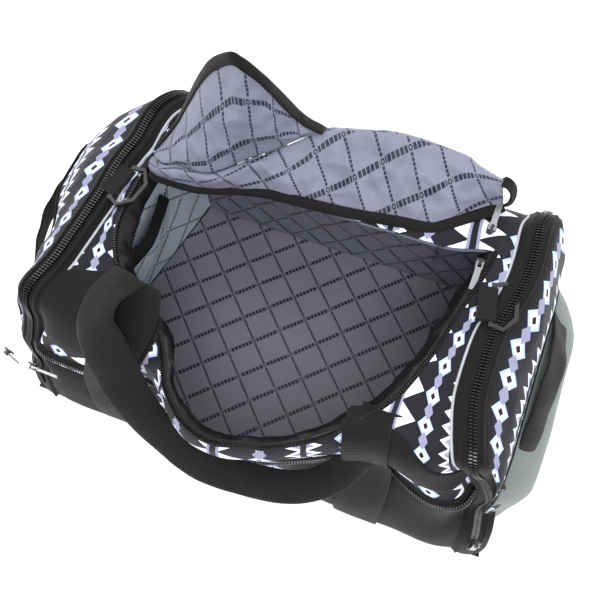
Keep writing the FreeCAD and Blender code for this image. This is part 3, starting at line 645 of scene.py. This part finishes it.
def make_teeth(name, line, across, up, pitch, size):
    """A row of zip teeth along a line. Size is each tooth's length, width and height."""
    count = int(np.linalg.norm(np.diff(line, axis=0), axis=1).sum() / pitch)
    marks = resample(np.hstack([line, across, up]), count)
    line, across, up = marks[:, :3], unit(marks[:, 3:6]), unit(marks[:, 6:9])
    ahead = unit(np.cross(up, across))
    length, width, height = (k / 2 for k in size)
    crown_length, crown_width = 0.6 * length, 0.8 * width
    block = np.array([(-length, -width, -height), (length, -width, -height), (length, width, -height),
                      (-length, width, -height), (-crown_length, -crown_width, height),
                      (crown_length, -crown_width, height), (crown_length, crown_width, height),
                      (-crown_length, crown_width, height)])
    verts = (line[:, None] + block[None, :, :1] * ahead[:, None] + block[None, :, 1:2] * across[:, None]
             + block[None, :, 2:] * up[:, None]).reshape(-1, 3)
    faces = []
    for k in range(0, len(verts), 8):
        faces += [(k + 4, k + 5, k + 6, k + 7), (k, k + 1, k + 5, k + 4), (k + 1, k + 2, k + 6, k + 5),
                  (k + 2, k + 3, k + 7, k + 6), (k + 3, k, k + 4, k + 7)]
    return add_mesh(name, verts, faces, None, COIL, smooth=False)


def make_mouth():
    lines = [rim_line(w, lift) for w, lift in ((5.5, 0.6), (4.5, 1.6), (2.0, 1.9), (-2.0, 1.6), (-3.0, 0.2))]
    tape = panel("mouth_tape", np.array(lines), TAPE, thick=1.0)
    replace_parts(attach(tape, "bag"), "main_zip_tape")

    outer, middle, inner = (rim_line(w, 2.6) for w in (2.5, 0.0, -2.5))
    up = unit(np.cross(inner - outer, tangents(middle)))
    up = up * np.sign(up[:, 2:])
    coil = make_teeth("mouth_teeth", middle, unit(inner - outer), up, 2.7, (1.7, 3.4, 2.2))
    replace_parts(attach(coil, "bag"), "main_zip_coil")

    edge = rim_line(-2.0, 0.4)
    inward = unit(rim_line(-12.0) - rim_line(0.0))
    rows = []
    for share in np.linspace(0, 1, 9):
        row = edge + inward * (13 * share) + np.array([0, 0, -1]) * (13 * share ** 1.5)
        wobble = 4.5 * crumple(edge, 26.0, 21) + 2.0 * crumple(edge, 11.0, 4)
        row = row + inward * (wobble * share)[:, None] * 0.7
        row[:, 2] += share * 3.5 * crumple(row, 16.0, 6)
        rows.append(row)
    facing = panel("mouth_facing", np.array(rows), SATIN, thick=1.0)
    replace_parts(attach(facing, "bag"), "rim_facing")


# ------------------------------------------------------------------ ends
def outline_normal(s):
    step = 1.5
    y = np.interp(s + step, RUN, PROFILE[:, 0]) - np.interp(s - step, RUN, PROFILE[:, 0])
    z = np.interp(s + step, RUN, PROFILE[:, 1]) - np.interp(s - step, RUN, PROFILE[:, 1])
    return unit(np.stack([0 * y, -z, y], axis=-1))


def end_band(side, width, s, lift=0.0):
    """Point on the zip band that runs outside the body's end, over its top from floor to floor."""
    s = np.asarray(s, float)
    base = skin(side * end_x(s), s)
    out = np.array([side * math.cos(END_TURN), math.sin(END_TURN), 0.0])
    crown = 4.0 * np.sin(np.clip(width / 34, 0, 1) * math.pi)
    wave = 1.6 * crumple(base, 70.0, 9 + side)
    normal = outline_normal(s)
    return base + out * width + normal * (crown + lift + wave * np.clip(width / 20, 0, 1))[:, None]


def cap_line(count):
    """The end cap's edge, from the front of its foot over the top to the back."""
    half, top, turn = CAP_HIGH[1], CAP_HIGH[2], 50.0
    line = [(-half, 2.0)]
    for a in np.linspace(math.pi, math.pi / 2, 12):
        line.append((-half + turn + turn * math.cos(a), top - turn + turn * math.sin(a)))
    for a in np.linspace(math.pi / 2, 0, 12):
        line.append((half - turn + turn * math.cos(a), top - turn + turn * math.sin(a)))
    line.append((half, 2.0))
    return resample(line, count)


def cap_lean(side, y):
    """How far an end cap leans in: evenly at the right, and at the left most towards the front."""
    if side > 0:
        return np.full_like(y, RIGHT_LEAN)
    front = np.clip((40 - y) / 75, 0, 1)
    corner = np.clip((-35 - y) / 90, 0, 1)
    back = np.clip((y - 95) / 45, 0, 1)
    return 22 * front * front * (3 - 2 * front) + 16 * corner + 12 * back


def gusset_grid(side, rows=14, columns=90):
    run = np.linspace(3, AROUND - 3, columns)
    near = end_band(side, 34.0, run, -0.5)
    cap = cap_line(columns)
    far = np.stack([side * (CAP_REACH - 2 - cap_lean(side, cap[:, 0])), cap[:, 0], cap[:, 1]], axis=1)
    share = np.linspace(0, 1, rows)[:, None, None]
    grid = near[None] * (1 - share) + far[None] * share
    swell = np.sin(math.pi * share[..., 0]) * np.sin(math.pi * np.linspace(0.04, 0.96, columns))[None]
    outward = unit(np.array([0.55 * side, 0.0, 0.0]) + outline_normal(run) * 0.8)
    fold = 3.2 * creases(grid, 42.0, 14 + side) + 2.0 * crumple(grid, 20.0, 15)
    grid = grid + outward[None] * ((6 + fold) * swell)[..., None]
    return grid


def make_ends():
    run = np.linspace(3, AROUND - 3, 130)
    for side, name in ((-1, "left"), (1, "right")):
        levels = ((2.0, 0.6), (4.5, 1.4), (12.0, 2.0), (18.5, 1.6), (25.0, 2.0), (32.0, 1.6), (34.5, 0.2))
        lines = [end_band(side, w, run, h) for w, h in levels]
        tape = panel(name + "_end_tape", np.array(lines), TAPE, thick=1.0)
        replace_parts(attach(tape, "bag"), name + "_zip_tape")

        span = np.linspace(40, AROUND - 40, 160)
        up = outline_normal(span)
        out = np.tile([side * math.cos(END_TURN), math.sin(END_TURN), 0.0], (len(span), 1))
        for number, w in enumerate((16.6, 20.6)):
            row = make_teeth("%s_end_teeth_%d" % (name, number), end_band(side, w, span + 1.5 * number, 3.4),
                             out, up, 3.1, (2.1, 3.9, 2.6))
            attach(row, "bag")
            if number == 0:
                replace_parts(row, name + "_zip_coil")
        hump = ((-2.2, 2.2), (-1.2, 4.0), (1.2, 4.0), (2.2, 2.2))
        for number, w in enumerate((8.5, 28.5)):
            lines = [end_band(side, w + k, run, h) for k, h in hump]
            welt = panel("%s_end_welt_%d" % (name, number), np.array(lines), BLACK_CLOTH)
            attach(welt, "bag")

        grid = gusset_grid(side)
        uvs = grid_uvs(grid)
        gusset = panel(name + "_gusset_cloth", grid, PRINT_GUSSET, uvs[..., ::-1], thick=1.5)
        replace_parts(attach(gusset, "bag"), name + "_end_gusset")

        foot = grid[:, :FOOT_COLUMNS]
        middle = np.array([side * 230, 0, 100])
        lower = panel(name + "_gusset_foot", foot + (foot - middle) * 0.006, BLACK_CLOTH)
        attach(lower, "bag")

        make_cap(side, name)


def make_cap(side, name):
    edge = cap_line(70)
    rows = []
    for share in np.linspace(0, 1, 16):
        y = edge[:, 0] * (1 - share)
        z = edge[:, 1] * (1 - share) + 2.0 * share
        depth = 1 - (1 - share) ** 2
        bulge = 7.0 * np.sin(math.pi * np.clip(z / CAP_HIGH[2], 0, 1)) * depth
        if side > 0:
            bulge = bulge + 34.0 * min(depth / 0.44, 1.0) ** 0.8
        x = side * (CAP_REACH - 1 + bulge - cap_lean(side, y))
        rows.append(np.stack([x, y, z], axis=1))
    grid = np.array(rows)
    fold = 2.2 * creases(grid, 60.0, 31 + side) * np.linspace(0, 1, 16)[:, None] ** 0.5
    grid[..., 0] += side * fold
    cap = panel(name + "_cap_cloth", grid, GRAY_CLOTH, grid[..., 1:], thick=1.5)
    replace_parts(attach(cap, "bag"), name + "_end_cap")
    line = np.column_stack([side * (CAP_REACH - 0.5 - cap_lean(side, edge[:, 0])), edge])
    seam = tube(name + "_cap_seam", line, 1.5, BLACK_CLOTH_CAD)
    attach(seam, "bag")


def tube(name, line, radius, material):
    """A round cord along a line, as a mesh."""
    line = np.asarray(line, float)
    count, sides = len(line), 8
    ahead = tangents(line)
    up = np.tile([0.0, 0.0, 1.0], (count, 1))
    up[np.abs(ahead[:, 2]) > 0.9] = (0.0, 1.0, 0.0)
    across = unit(np.cross(ahead, up))
    for k in range(1, count):
        kept = across[k - 1] - ahead[k] * np.dot(across[k - 1], ahead[k])
        across[k] = kept / max(np.linalg.norm(kept), 1e-9)
    up = np.cross(across, ahead)
    turn = np.linspace(0, math.tau, sides, endpoint=False)
    grid = (line[:, None] + across[:, None] * (radius * np.cos(turn))[None, :, None]
            + up[:, None] * (radius * np.sin(turn))[None, :, None])
    faces = grid_faces(count, sides, wrap=True)
    faces += [tuple(range(sides)), tuple(range((count - 1) * sides, count * sides))]
    return add_mesh(name, grid.reshape(-1, 3), faces, np.zeros((count * sides, 2)), material)


def make_piping():
    run = np.linspace(3, AROUND - 3, 140)
    for side, name in ((-1, "left"), (1, "right")):
        piece = tube(name + "_piping", end_band(side, 0.5, run, 1.0), 1.5, PIPE)
        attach(piece, "bag")
        if side < 0:
            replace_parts(piece, "end_piping")


# ------------------------------------------------------------------ front
def strip_between(name, xs, low, high, lift, material, rows=8, thick=1.2):
    """A panel on the body between two lines, each giving the outline length at every x."""
    xs = np.asarray(xs, float)
    share = np.linspace(0, 1, rows)[:, None]
    s = low[None] * (1 - share) + high[None] * share
    x = np.broadcast_to(xs[None], s.shape)
    rim = np.minimum(np.minimum(share, 1 - share) * 8, 1)
    grid = skin(x, s, lift * rim + 0.3)
    return panel(name, grid, material, np.stack([x, s], axis=-1), thick=thick)


def make_front():
    zones = (("front_pocket_mesh", -end_x(70.0), -122, MESH, "mesh_fabric"),
             ("front_pocket_print", -124, 62, PRINT, "printed_fabric"),
             ("front_pocket_cloth", 60, end_x(70.0), BLACK_CLOTH, "black_fabric"))
    for number, (name, start, stop, material, slot) in enumerate(zones):
        xs = np.linspace(start, stop, 36)
        piece = strip_between(name, xs, np.full(36, 3.0), np.full(36, 141.0), 4.0, material, 16)
        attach(piece, "bag")
        if number == 0:
            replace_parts(piece, "front_pocket_panel")

    xs = np.linspace(-end_x(149.0) + 1, end_x(149.0) - 1, 130)
    wave = 149 + 2.5 * np.sin(xs / 31.0)
    tape = strip_between("front_pocket_tape", xs, wave - 9, wave + 9, 3.0, TAPE, 7)
    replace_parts(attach(tape, "bag"), "front_pocket_zip")
    up = unit(skin(xs, wave, 8.0) - skin(xs, wave, 0.0))
    across = unit(skin(xs, wave + 4) - skin(xs, wave - 4))
    for number, shift in enumerate((-2.1, 2.1)):
        line = skin(xs + 1.4 * number, wave + shift, 5.0)
        row = make_teeth("front_pocket_teeth_%d" % number, line, across, up, 2.8, (1.9, 3.8, 2.4))
        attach(row, "bag")

    xs = np.linspace(-end_x(165.0), -118, 40)
    high = np.interp(xs, (-240, -200, -165, -140, -118),
                     (run_at(-70), run_at(-64), run_at(-56), run_at(-80), run_at(-98)))
    left = strip_between("front_left_patch", xs, np.full(40, 166.0), high, 3.2, BLACK_CLOTH, 22)
    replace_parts(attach(left, "bag"), "front_corner_patches")
    xs = np.linspace(120, end_x(165.0), 40)
    high = np.interp(xs, (120, 150, 180, 210, 250), (run_at(-122), run_at(-112), run_at(-122), 214, 188))
    right = strip_between("front_right_patch", xs, np.full(40, 168.0), high, 3.2, BLACK_CLOTH, 22)
    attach(right, "bag")


# ------------------------------------------------------------------ lid
LINING_SIDE = (0.0, -0.54, 0.84)
# The seam where the flap leaves the body, from left to right.
LID_BAND = [(-172, 52, 240), (-159, 49, 240), (-123, 51, 238), (-102, 57, 237), (-78, 66, 236),
            (-48, 73, 235), (-11, 76, 234), (36, 81, 233), (87, 89, 233), (117, 93, 233), (130, 100, 235),
            (159, 122, 239), (179, 138, 240)]
# The ridge the flap folds over, from left to right.
LID_CREST = [(-175, 68, 247), (-160, 60, 249), (-144, 63, 252), (-124, 60, 255), (-107, 62, 257),
             (-92, 72, 260), (-72, 90, 264), (-56, 101, 267), (-30, 126, 271), (-13, 140, 273),
             (12, 146, 277), (37, 148, 285), (56, 150, 288), (81, 151, 289), (112, 152, 285),
             (129, 151, 283), (139, 150, 276), (159, 145, 273), (170, 143, 273)]
# The free edge of the corner that stands up at the left.
LID_PEAK = [(-176, 82, 247), (-164, 105, 261), (-137, 112, 318), (-124, 113, 343), (-110, 112, 364),
            (-87, 106, 387), (-79, 106, 385), (-70, 110, 373), (-59, 117, 351), (-51, 125, 327),
            (-33, 135, 290), (-13, 141, 273)]
CREST_SPLIT = -13.0


def bend(obj):
    """Bakes the piece's modifiers and its placing into its mesh."""
    apply_modifiers(obj)
    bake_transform(obj)
    return obj


def ribbon(name, points, faces_to, width, material, thick=2.0, count=70, cup=0.0, wave=0.0, seed=1):
    """A flat strap along a curve, its face turned to the given direction at each point."""
    faces_to = np.broadcast_to(np.asarray(faces_to, float), np.shape(points))
    both = spline(np.hstack([np.asarray(points, float), 40 * faces_to]), count)
    line, normal = both[:, :3], unit(both[:, 3:])
    ahead = tangents(line)
    across = unit(np.cross(normal, ahead))
    normal = unit(np.cross(ahead, across))
    run = np.concatenate([[0], np.cumsum(np.linalg.norm(np.diff(line, axis=0), axis=1))])
    spread = np.linspace(-0.5, 0.5, 9)
    width = np.interp(np.linspace(0, 1, count), np.linspace(0, 1, np.size(width)), np.ravel(width))
    rows, uvs = [], []
    for w in spread:
        place = line + across * (width * w)[:, None]
        rise = cup * (1 - 4 * w * w) + wave * crumple(place, 26.0, seed)
        rows.append(place + normal * rise[:, None])
        uvs.append(np.stack([width * w, run], axis=1))
    return panel(name, np.array(rows), material, np.array(uvs), thick=thick, offset=0.0)


def lid_edge(name, line, inward, node=None):
    """Tape and teeth along a free edge of the flap."""
    rows = [line + inward * k for k in (9.0, 6.0, 2.0, -2.0, -4.0)]
    rows = [row + np.array(LINING_SIDE) * h for row, h in zip(rows, (0.8, 1.8, 2.0, 1.2, 0.2))]
    tape = bend(panel(name + "_tape", np.array(rows), TAPE, thick=2.6, offset=0.0))
    if node:
        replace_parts(tape, node)
    up = np.tile(LINING_SIDE, (len(line), 1))
    teeth = make_teeth(name + "_teeth", line - inward * 3.0, inward, up, 2.8, (1.8, 3.2, 3.4))
    bend(teeth)
    return tape


def turned_uvs(grid, angle):
    """Cloth places on a grid, with the cloth laid at an angle in degrees."""
    uvs = grid_uvs(grid)
    c, d = math.cos(math.radians(angle)), math.sin(math.radians(angle))
    return np.stack([uvs[..., 0] * c - uvs[..., 1] * d, uvs[..., 0] * d + uvs[..., 1] * c], axis=-1)


def flap_between(low, high, rows, toward, lump, fold, seed):
    """Crumpled cloth between two edges."""
    share = np.linspace(0, 1, rows)[:, None, None]
    grid = low[None] * (1 - share) + high[None] * share
    free = np.sin(math.pi * share[..., 0]) ** 0.7
    folds = (creases(grid, 34.0, seed) + 0.6 * crumple(grid, 15.0, seed + 3)
             + 0.4 * creases(grid, 17.0, seed + 5))
    rise = lump * free + fold * free * folds
    return grid + np.array(toward) * rise[..., None]


def lid_cloth(name, grid, angle, node):
    """One part of the flap: lining on one face, print on the other, baked into one mesh."""
    cloth = bend(panel(name, grid, LATTICE, turned_uvs(grid, angle), thick=1.8, back=PRINT))
    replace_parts(cloth, node)


def make_lid():
    band, crest = spline(LID_BAND, 110), spline(LID_CREST, 110)
    lobe = 7.0 * np.clip((-20 - crest[:, 0]) / 60, 0, 1)[None]
    grid = flap_between(band, crest, 26, LINING_SIDE, 1.5 + lobe, 4.5, 5)
    lid_cloth("lid_rear_cloth", grid, 22, "lid_rear_panel")

    ridge = spline([p for p in LID_CREST if p[0] <= CREST_SPLIT + 0.1], 80)
    peak = spline(LID_PEAK, 80)
    grid = flap_between(ridge, peak, 34, (0.12, -0.94, 0.3), 5.0, 5.0, 8)
    lid_cloth("lid_corner_cloth", grid, 38, "lid_corner_panel")
    lid_edge("lid_corner_edge", peak, unit(grid[-4] - grid[-1]), "lid_corner_zip")

    grid = hanging_grid()
    lid_cloth("lid_front_cloth", grid, 22, "lid_front_panel")
    lid_edge("lid_front_edge", grid[-1], unit(grid[-4] - grid[-1]), "lid_front_zip")

    side = ribbon("lid_right_tape", [(170, 143, 274), (177, 145, 268), (183, 145, 258), (184, 141, 248),
                                     (180, 138, 241)], (0.9, -0.3, 0.4), 11, TAPE, 2.4, 40, wave=1.5)
    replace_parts(bend(side), "lid_rear_zip")

    line = [(x, y - 1, z + 2) for x, y, z in LID_BAND]
    seam = ribbon("lid_seam_binding", line, LINING_SIDE, 11, BLACK_CLOTH, 2.4, 120, cup=1.5, wave=1.0)
    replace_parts(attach(seam, "bag"), "lid_hinge_binding")


def hanging_grid(rows=30, columns=80):
    """The flap's front part, hanging down behind the ridge with one round corner."""
    crest = spline([p for p in LID_CREST if p[0] >= CREST_SPLIT - 0.1], columns)
    turn, drop = 107.0, 118.0
    foot = [(-85.0, drop), (-10.0, drop), (172 - turn, drop)]
    foot += [(172 - turn + turn * math.sin(a), drop - turn + turn * math.cos(a))
             for a in np.linspace(0.1, math.pi / 2, 14)]
    foot = resample(foot, columns)
    share = np.linspace(0, 1, rows)[:, None]
    x = crest[None, :, 0] * (1 - share) + foot[None, :, 0] * share
    depth = foot[None, :, 1] * share
    roll = 9 * (1 - np.exp(-depth / 9))
    y = crest[None, :, 1] + roll + 0.1 * depth
    z = crest[None, :, 2] - depth + 0.35 * roll
    grid = np.stack([x, y, z], axis=-1)
    free = np.clip(depth / 25, 0, 1)
    grid[..., 1] += free * (3.5 * creases(grid, 45.0, 4) + 2.0 * crumple(grid, 22.0, 6))
    return grid


# ------------------------------------------------------------------ handles
def make_front_handle():
    points = [(-140, -62, 240), (-150, -93, 244), (-147, -120, 240), (-132, -137, 229), (-108, -157, 204),
              (-81, -174, 188), (-45, -188, 175), (-11, -195, 166), (29, -192, 160), (73, -183, 156),
              (106, -162, 156), (126, -133, 174), (137, -107, 209), (139, -97, 229)]
    lying = (0.1, -0.45, 0.89)
    faces = [(-0.3, 0.0, 0.95), (-0.45, -0.1, 0.9), (-0.4, -0.3, 0.87), (-0.1, -0.45, 0.89)] + [lying] * 6
    faces += [(0.15, -0.5, 0.85), (0.25, -0.6, 0.76), (0.2, -0.55, 0.8), (0.1, -0.3, 0.95)]
    widths = np.interp(np.linspace(0, 1, 30), (0, 0.22, 0.4, 0.85, 1), (50, 48, 34, 34, 50))
    strap = ribbon("front_handle_strap", points, faces, widths, WEBBING, 3.0, 150, cup=4.0, wave=2.0)
    apply_modifiers(strap)
    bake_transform(strap)
    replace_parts(strap, "front_handle")
    for number, (x, top) in enumerate(((-147, -64), (138, -99))):
        xs = np.linspace(x - 25, x + 25, 12)
        low, high = np.full(12, 3.0), np.full(12, run_at(top))
        strip = strip_between("front_handle_anchor_%d" % number, xs, low, high, 7.0, WEBBING, 40, 2.0)
        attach(strip, "bag")
        if number == 0:
            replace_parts(strip, "front_handle_anchors")


def make_rear_handle():
    low, high = node_box("rear_handle")
    y = (low[1] + high[1]) / 2
    half = high[0] - 25
    points = [(-half, y - 3, high[2]), (-half + 6, y, high[2] - 40), (-half + 45, y + 2, low[2] + 42),
              (0, y + 3, low[2] + 27), (half - 45, y + 2, low[2] + 42), (half - 6, y, high[2] - 40),
              (half, y - 3, high[2])]
    strap = ribbon("rear_handle_strap", points, (0, 1, 0.05), 46, WEBBING, 3.0, 120, cup=1.5, wave=1.0)
    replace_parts(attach(strap, "rear_handle"), "rear_handle")


def make_grabs():
    lines = {"right": [(266, 86, 160), (272, 72, 168), (277, 35, 176), (278, 0, 178), (276, -40, 172),
                       (272, -72, 162), (264, -98, 142)],
             "left": [(-283, 88, 152), (-294, 70, 152), (-303, 35, 150), (-303, 0, 147), (-293, -35, 146),
                      (-274, -70, 146), (-262, -88, 146)]}
    for side, name in ((-1, "left"), (1, "right")):
        facing = (0.75, 0, 0.65) if side > 0 else (-1, 0, 0.15)
        width = 33 if side < 0 else 30
        strap = ribbon(name + "_grab_strap", lines[name], facing, width, WEBBING, 2.6, 90, cup=1.0, wave=3.0,
                       seed=12 + side)
        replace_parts(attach(strap, name + "_grab"), name + "_grab_handle")
        for number, end in enumerate((0, -1)):
            x, y, z = lines[name][end]
            way = 1 if end == 0 else -1
            foot = [(x - side * inward, y + way * along, z) for inward, along in ((1, -6), (2, 8), (4, 18))]
            piece = ribbon("%s_grab_anchor_%d" % (name, number), foot, facing, 34, WEBBING, 2.4, 14)
            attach(piece, "bag")
            if side < 0 and number == 0:
                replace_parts(piece, "grab_anchors")


# ------------------------------------------------------------------ pockets inside
def make_inner_pockets():
    low, high = node_box("inner_back_pocket")
    x, z = np.meshgrid(np.linspace(low[0], high[0], 60), np.linspace(low[2], high[2], 30))
    grid = np.stack([x, np.full_like(x, low[1]), z], axis=-1)
    free = np.sin(math.pi * np.linspace(0, 1, 30))[:, None]
    grid[..., 1] -= 2 + free * (3 + 2.5 * creases(grid, 50.0, 3))
    cloth = panel("back_pocket_cloth", grid, LATTICE, grid[..., (0, 2)], thick=1.2, offset=0.0)
    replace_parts(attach(cloth, "bag"), "inner_back_pocket")
    low, high = node_box("inner_back_zip")
    xs = np.linspace(low[0] + 1, high[0] - 1, 70)
    y = low[1] - 1.0
    rows = [np.stack([xs, np.full(70, y - h), np.full(70, k)], axis=1)
            for k, h in ((low[2] - 3, 0.2), (low[2] - 1, 1.2), (high[2] + 1, 1.2), (high[2] + 3, 0.2))]
    tape = panel("back_pocket_tape", np.array(rows), TAPE, thick=1.0)
    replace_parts(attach(tape, "bag"), "inner_back_zip")
    line = np.stack([xs, np.full(70, y - 2.0), np.full(70, (low[2] + high[2]) / 2)], axis=1)
    teeth = make_teeth("back_pocket_teeth", line, np.tile([0.0, 0.0, 1.0], (70, 1)),
                       np.tile([0.0, -1.0, 0.0], (70, 1)), 2.6, (1.7, 3.6, 2.0))
    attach(teeth, "bag")

    low, high = node_box("inner_side_pocket")
    y = np.linspace(low[1], high[1] + 9, 60)
    top = np.interp(y, (low[1], -20, 12, 60, 82), (-196, -180, -173, -180, -186))
    share = np.linspace(0, 1, 30)[:, None]
    x = (low[0] + 6) * (1 - share ** 0.6) + top[None] * share ** 0.6
    z = low[2] * (1 - share) + (high[2] + 3) * share
    grid = np.stack([x, np.broadcast_to(y, x.shape), np.broadcast_to(z, x.shape)], axis=-1)
    grid[..., 0] += 3.0 * creases(grid, 45.0, 17) * np.sin(math.pi * share)
    cloth = panel("side_pocket_cloth", grid, POCKET_CLOTH, grid[..., 1:], thick=1.2, offset=0.0)
    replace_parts(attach(cloth, "bag"), "inner_side_pocket")
    line = np.stack([top + 1, y, np.full(60, high[2] + 12.0)], axis=1)[::6]
    band = ribbon("side_pocket_band_cloth", line, (0.7, 0.0, 0.7), 14, BLACK_CLOTH, 1.6, 60, cup=1.0,
                  wave=2.0)
    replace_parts(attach(band, "bag"), "side_pocket_band")


# ------------------------------------------------------------------ frame pieces that keep their shape
def finish_frame():
    """Every frame piece that still shows gets its finish, and small metal and plastic edges are rounded."""
    finishes = {"base_panel": BLACK_CLOTH_CAD, "base_board": hard("board", rgb(60, 60, 62), 0.8),
                "ring_tabs": WEBBING_CAD, "rear_handle_anchors": WEBBING_CAD, "left_ring": PLASTIC,
                "right_ring": PLASTIC}
    for name, obj in nodes.items():
        if obj.hide_render:
            continue
        material = finishes.get(name)
        if name.endswith("_slider"):
            material = METAL
        if name.endswith("_pull"):
            material = PULL
        obj.data.materials.clear()
        obj.data.materials.append(material or BLACK_CLOTH_CAD)
        if name.endswith(("_slider", "_pull", "_ring")):
            bevel = obj.modifiers.new("edges", "BEVEL")
            bevel.width = 0.0006
            bevel.segments = 2


# ------------------------------------------------------------------ camera, light and floor
# The camera's azimuth, elevation and roll in degrees, its place in metres and its lens in millimetres.
CAMERA_ANGLES = (24.755, 65.905, -3.754)
CAMERA_PLACE = (0.1554, -0.3023, 0.9060)
CAMERA_LENS = 45.43


def make_camera():
    azimuth, elevation, roll = (math.radians(a) for a in CAMERA_ANGLES)
    back = Vector((math.sin(azimuth) * math.cos(elevation), -math.cos(azimuth) * math.cos(elevation),
                   math.sin(elevation)))
    level = Vector((math.cos(azimuth), math.sin(azimuth), 0.0))
    raised = back.cross(level)
    right = level * math.cos(roll) + raised * math.sin(roll)
    up = raised * math.cos(roll) - level * math.sin(roll)
    data = bpy.data.cameras.new("camera")
    data.sensor_width = 36.0
    data.lens = CAMERA_LENS
    data.clip_start = 0.01
    camera = bpy.data.objects.new("camera", data)
    bpy.context.scene.collection.objects.link(camera)
    turn = Matrix((right, up, back)).transposed()
    camera.matrix_world = Matrix.Translation(CAMERA_PLACE) @ turn.to_4x4()
    bpy.context.scene.camera = camera


def make_light(name, place, target, size, power):
    data = bpy.data.lights.new(name, "AREA")
    data.shape = "DISK"
    data.size = size
    data.energy = power
    light = bpy.data.objects.new(name, data)
    bpy.context.scene.collection.objects.link(light)
    light.location = place
    light.rotation_mode = "QUATERNION"
    light.rotation_quaternion = (Vector(target) - Vector(place)).to_track_quat("-Z", "Y")


def make_studio():
    world = bpy.data.worlds.new("studio")
    world.use_nodes = True
    world.node_tree.nodes["Background"].inputs["Color"].default_value = (1.0, 1.0, 1.0, 1.0)
    world.node_tree.nodes["Background"].inputs["Strength"].default_value = 1.25
    bpy.context.scene.world = world
    bpy.context.scene.view_settings.view_transform = "Standard"
    make_light("key", (0.5, -0.9, 1.9), (0.0, 0.0, 0.1), 1.0, 26)
    make_light("fill", (-1.4, 0.4, 1.6), (0.0, 0.0, 0.1), 1.4, 14)
    make_light("rim", (0.9, 1.3, 1.3), (0.0, 0.0, 0.1), 1.0, 12)
    mesh = bpy.data.meshes.new("studio_floor")
    reach, level = 6.0, -0.0005
    corners = [(x * reach, y * reach, level) for x, y in ((-1, -1), (1, -1), (1, 1), (-1, 1))]
    mesh.from_pydata(corners, [], [(0, 1, 2, 3)])
    floor = bpy.data.objects.new("studio_floor", mesh)
    bpy.context.scene.collection.objects.link(floor)
    white = Paint("studio_white", rgb(252, 252, 252), 0.9, "Object")
    floor.data.materials.append(white.done())


make_camera()
make_studio()
make_body()
make_end_walls()
make_floor()
make_mouth()
make_ends()
make_piping()
make_front()
make_lid()
make_front_handle()
make_rear_handle()
make_grabs()
make_inner_pockets()
finish_frame()
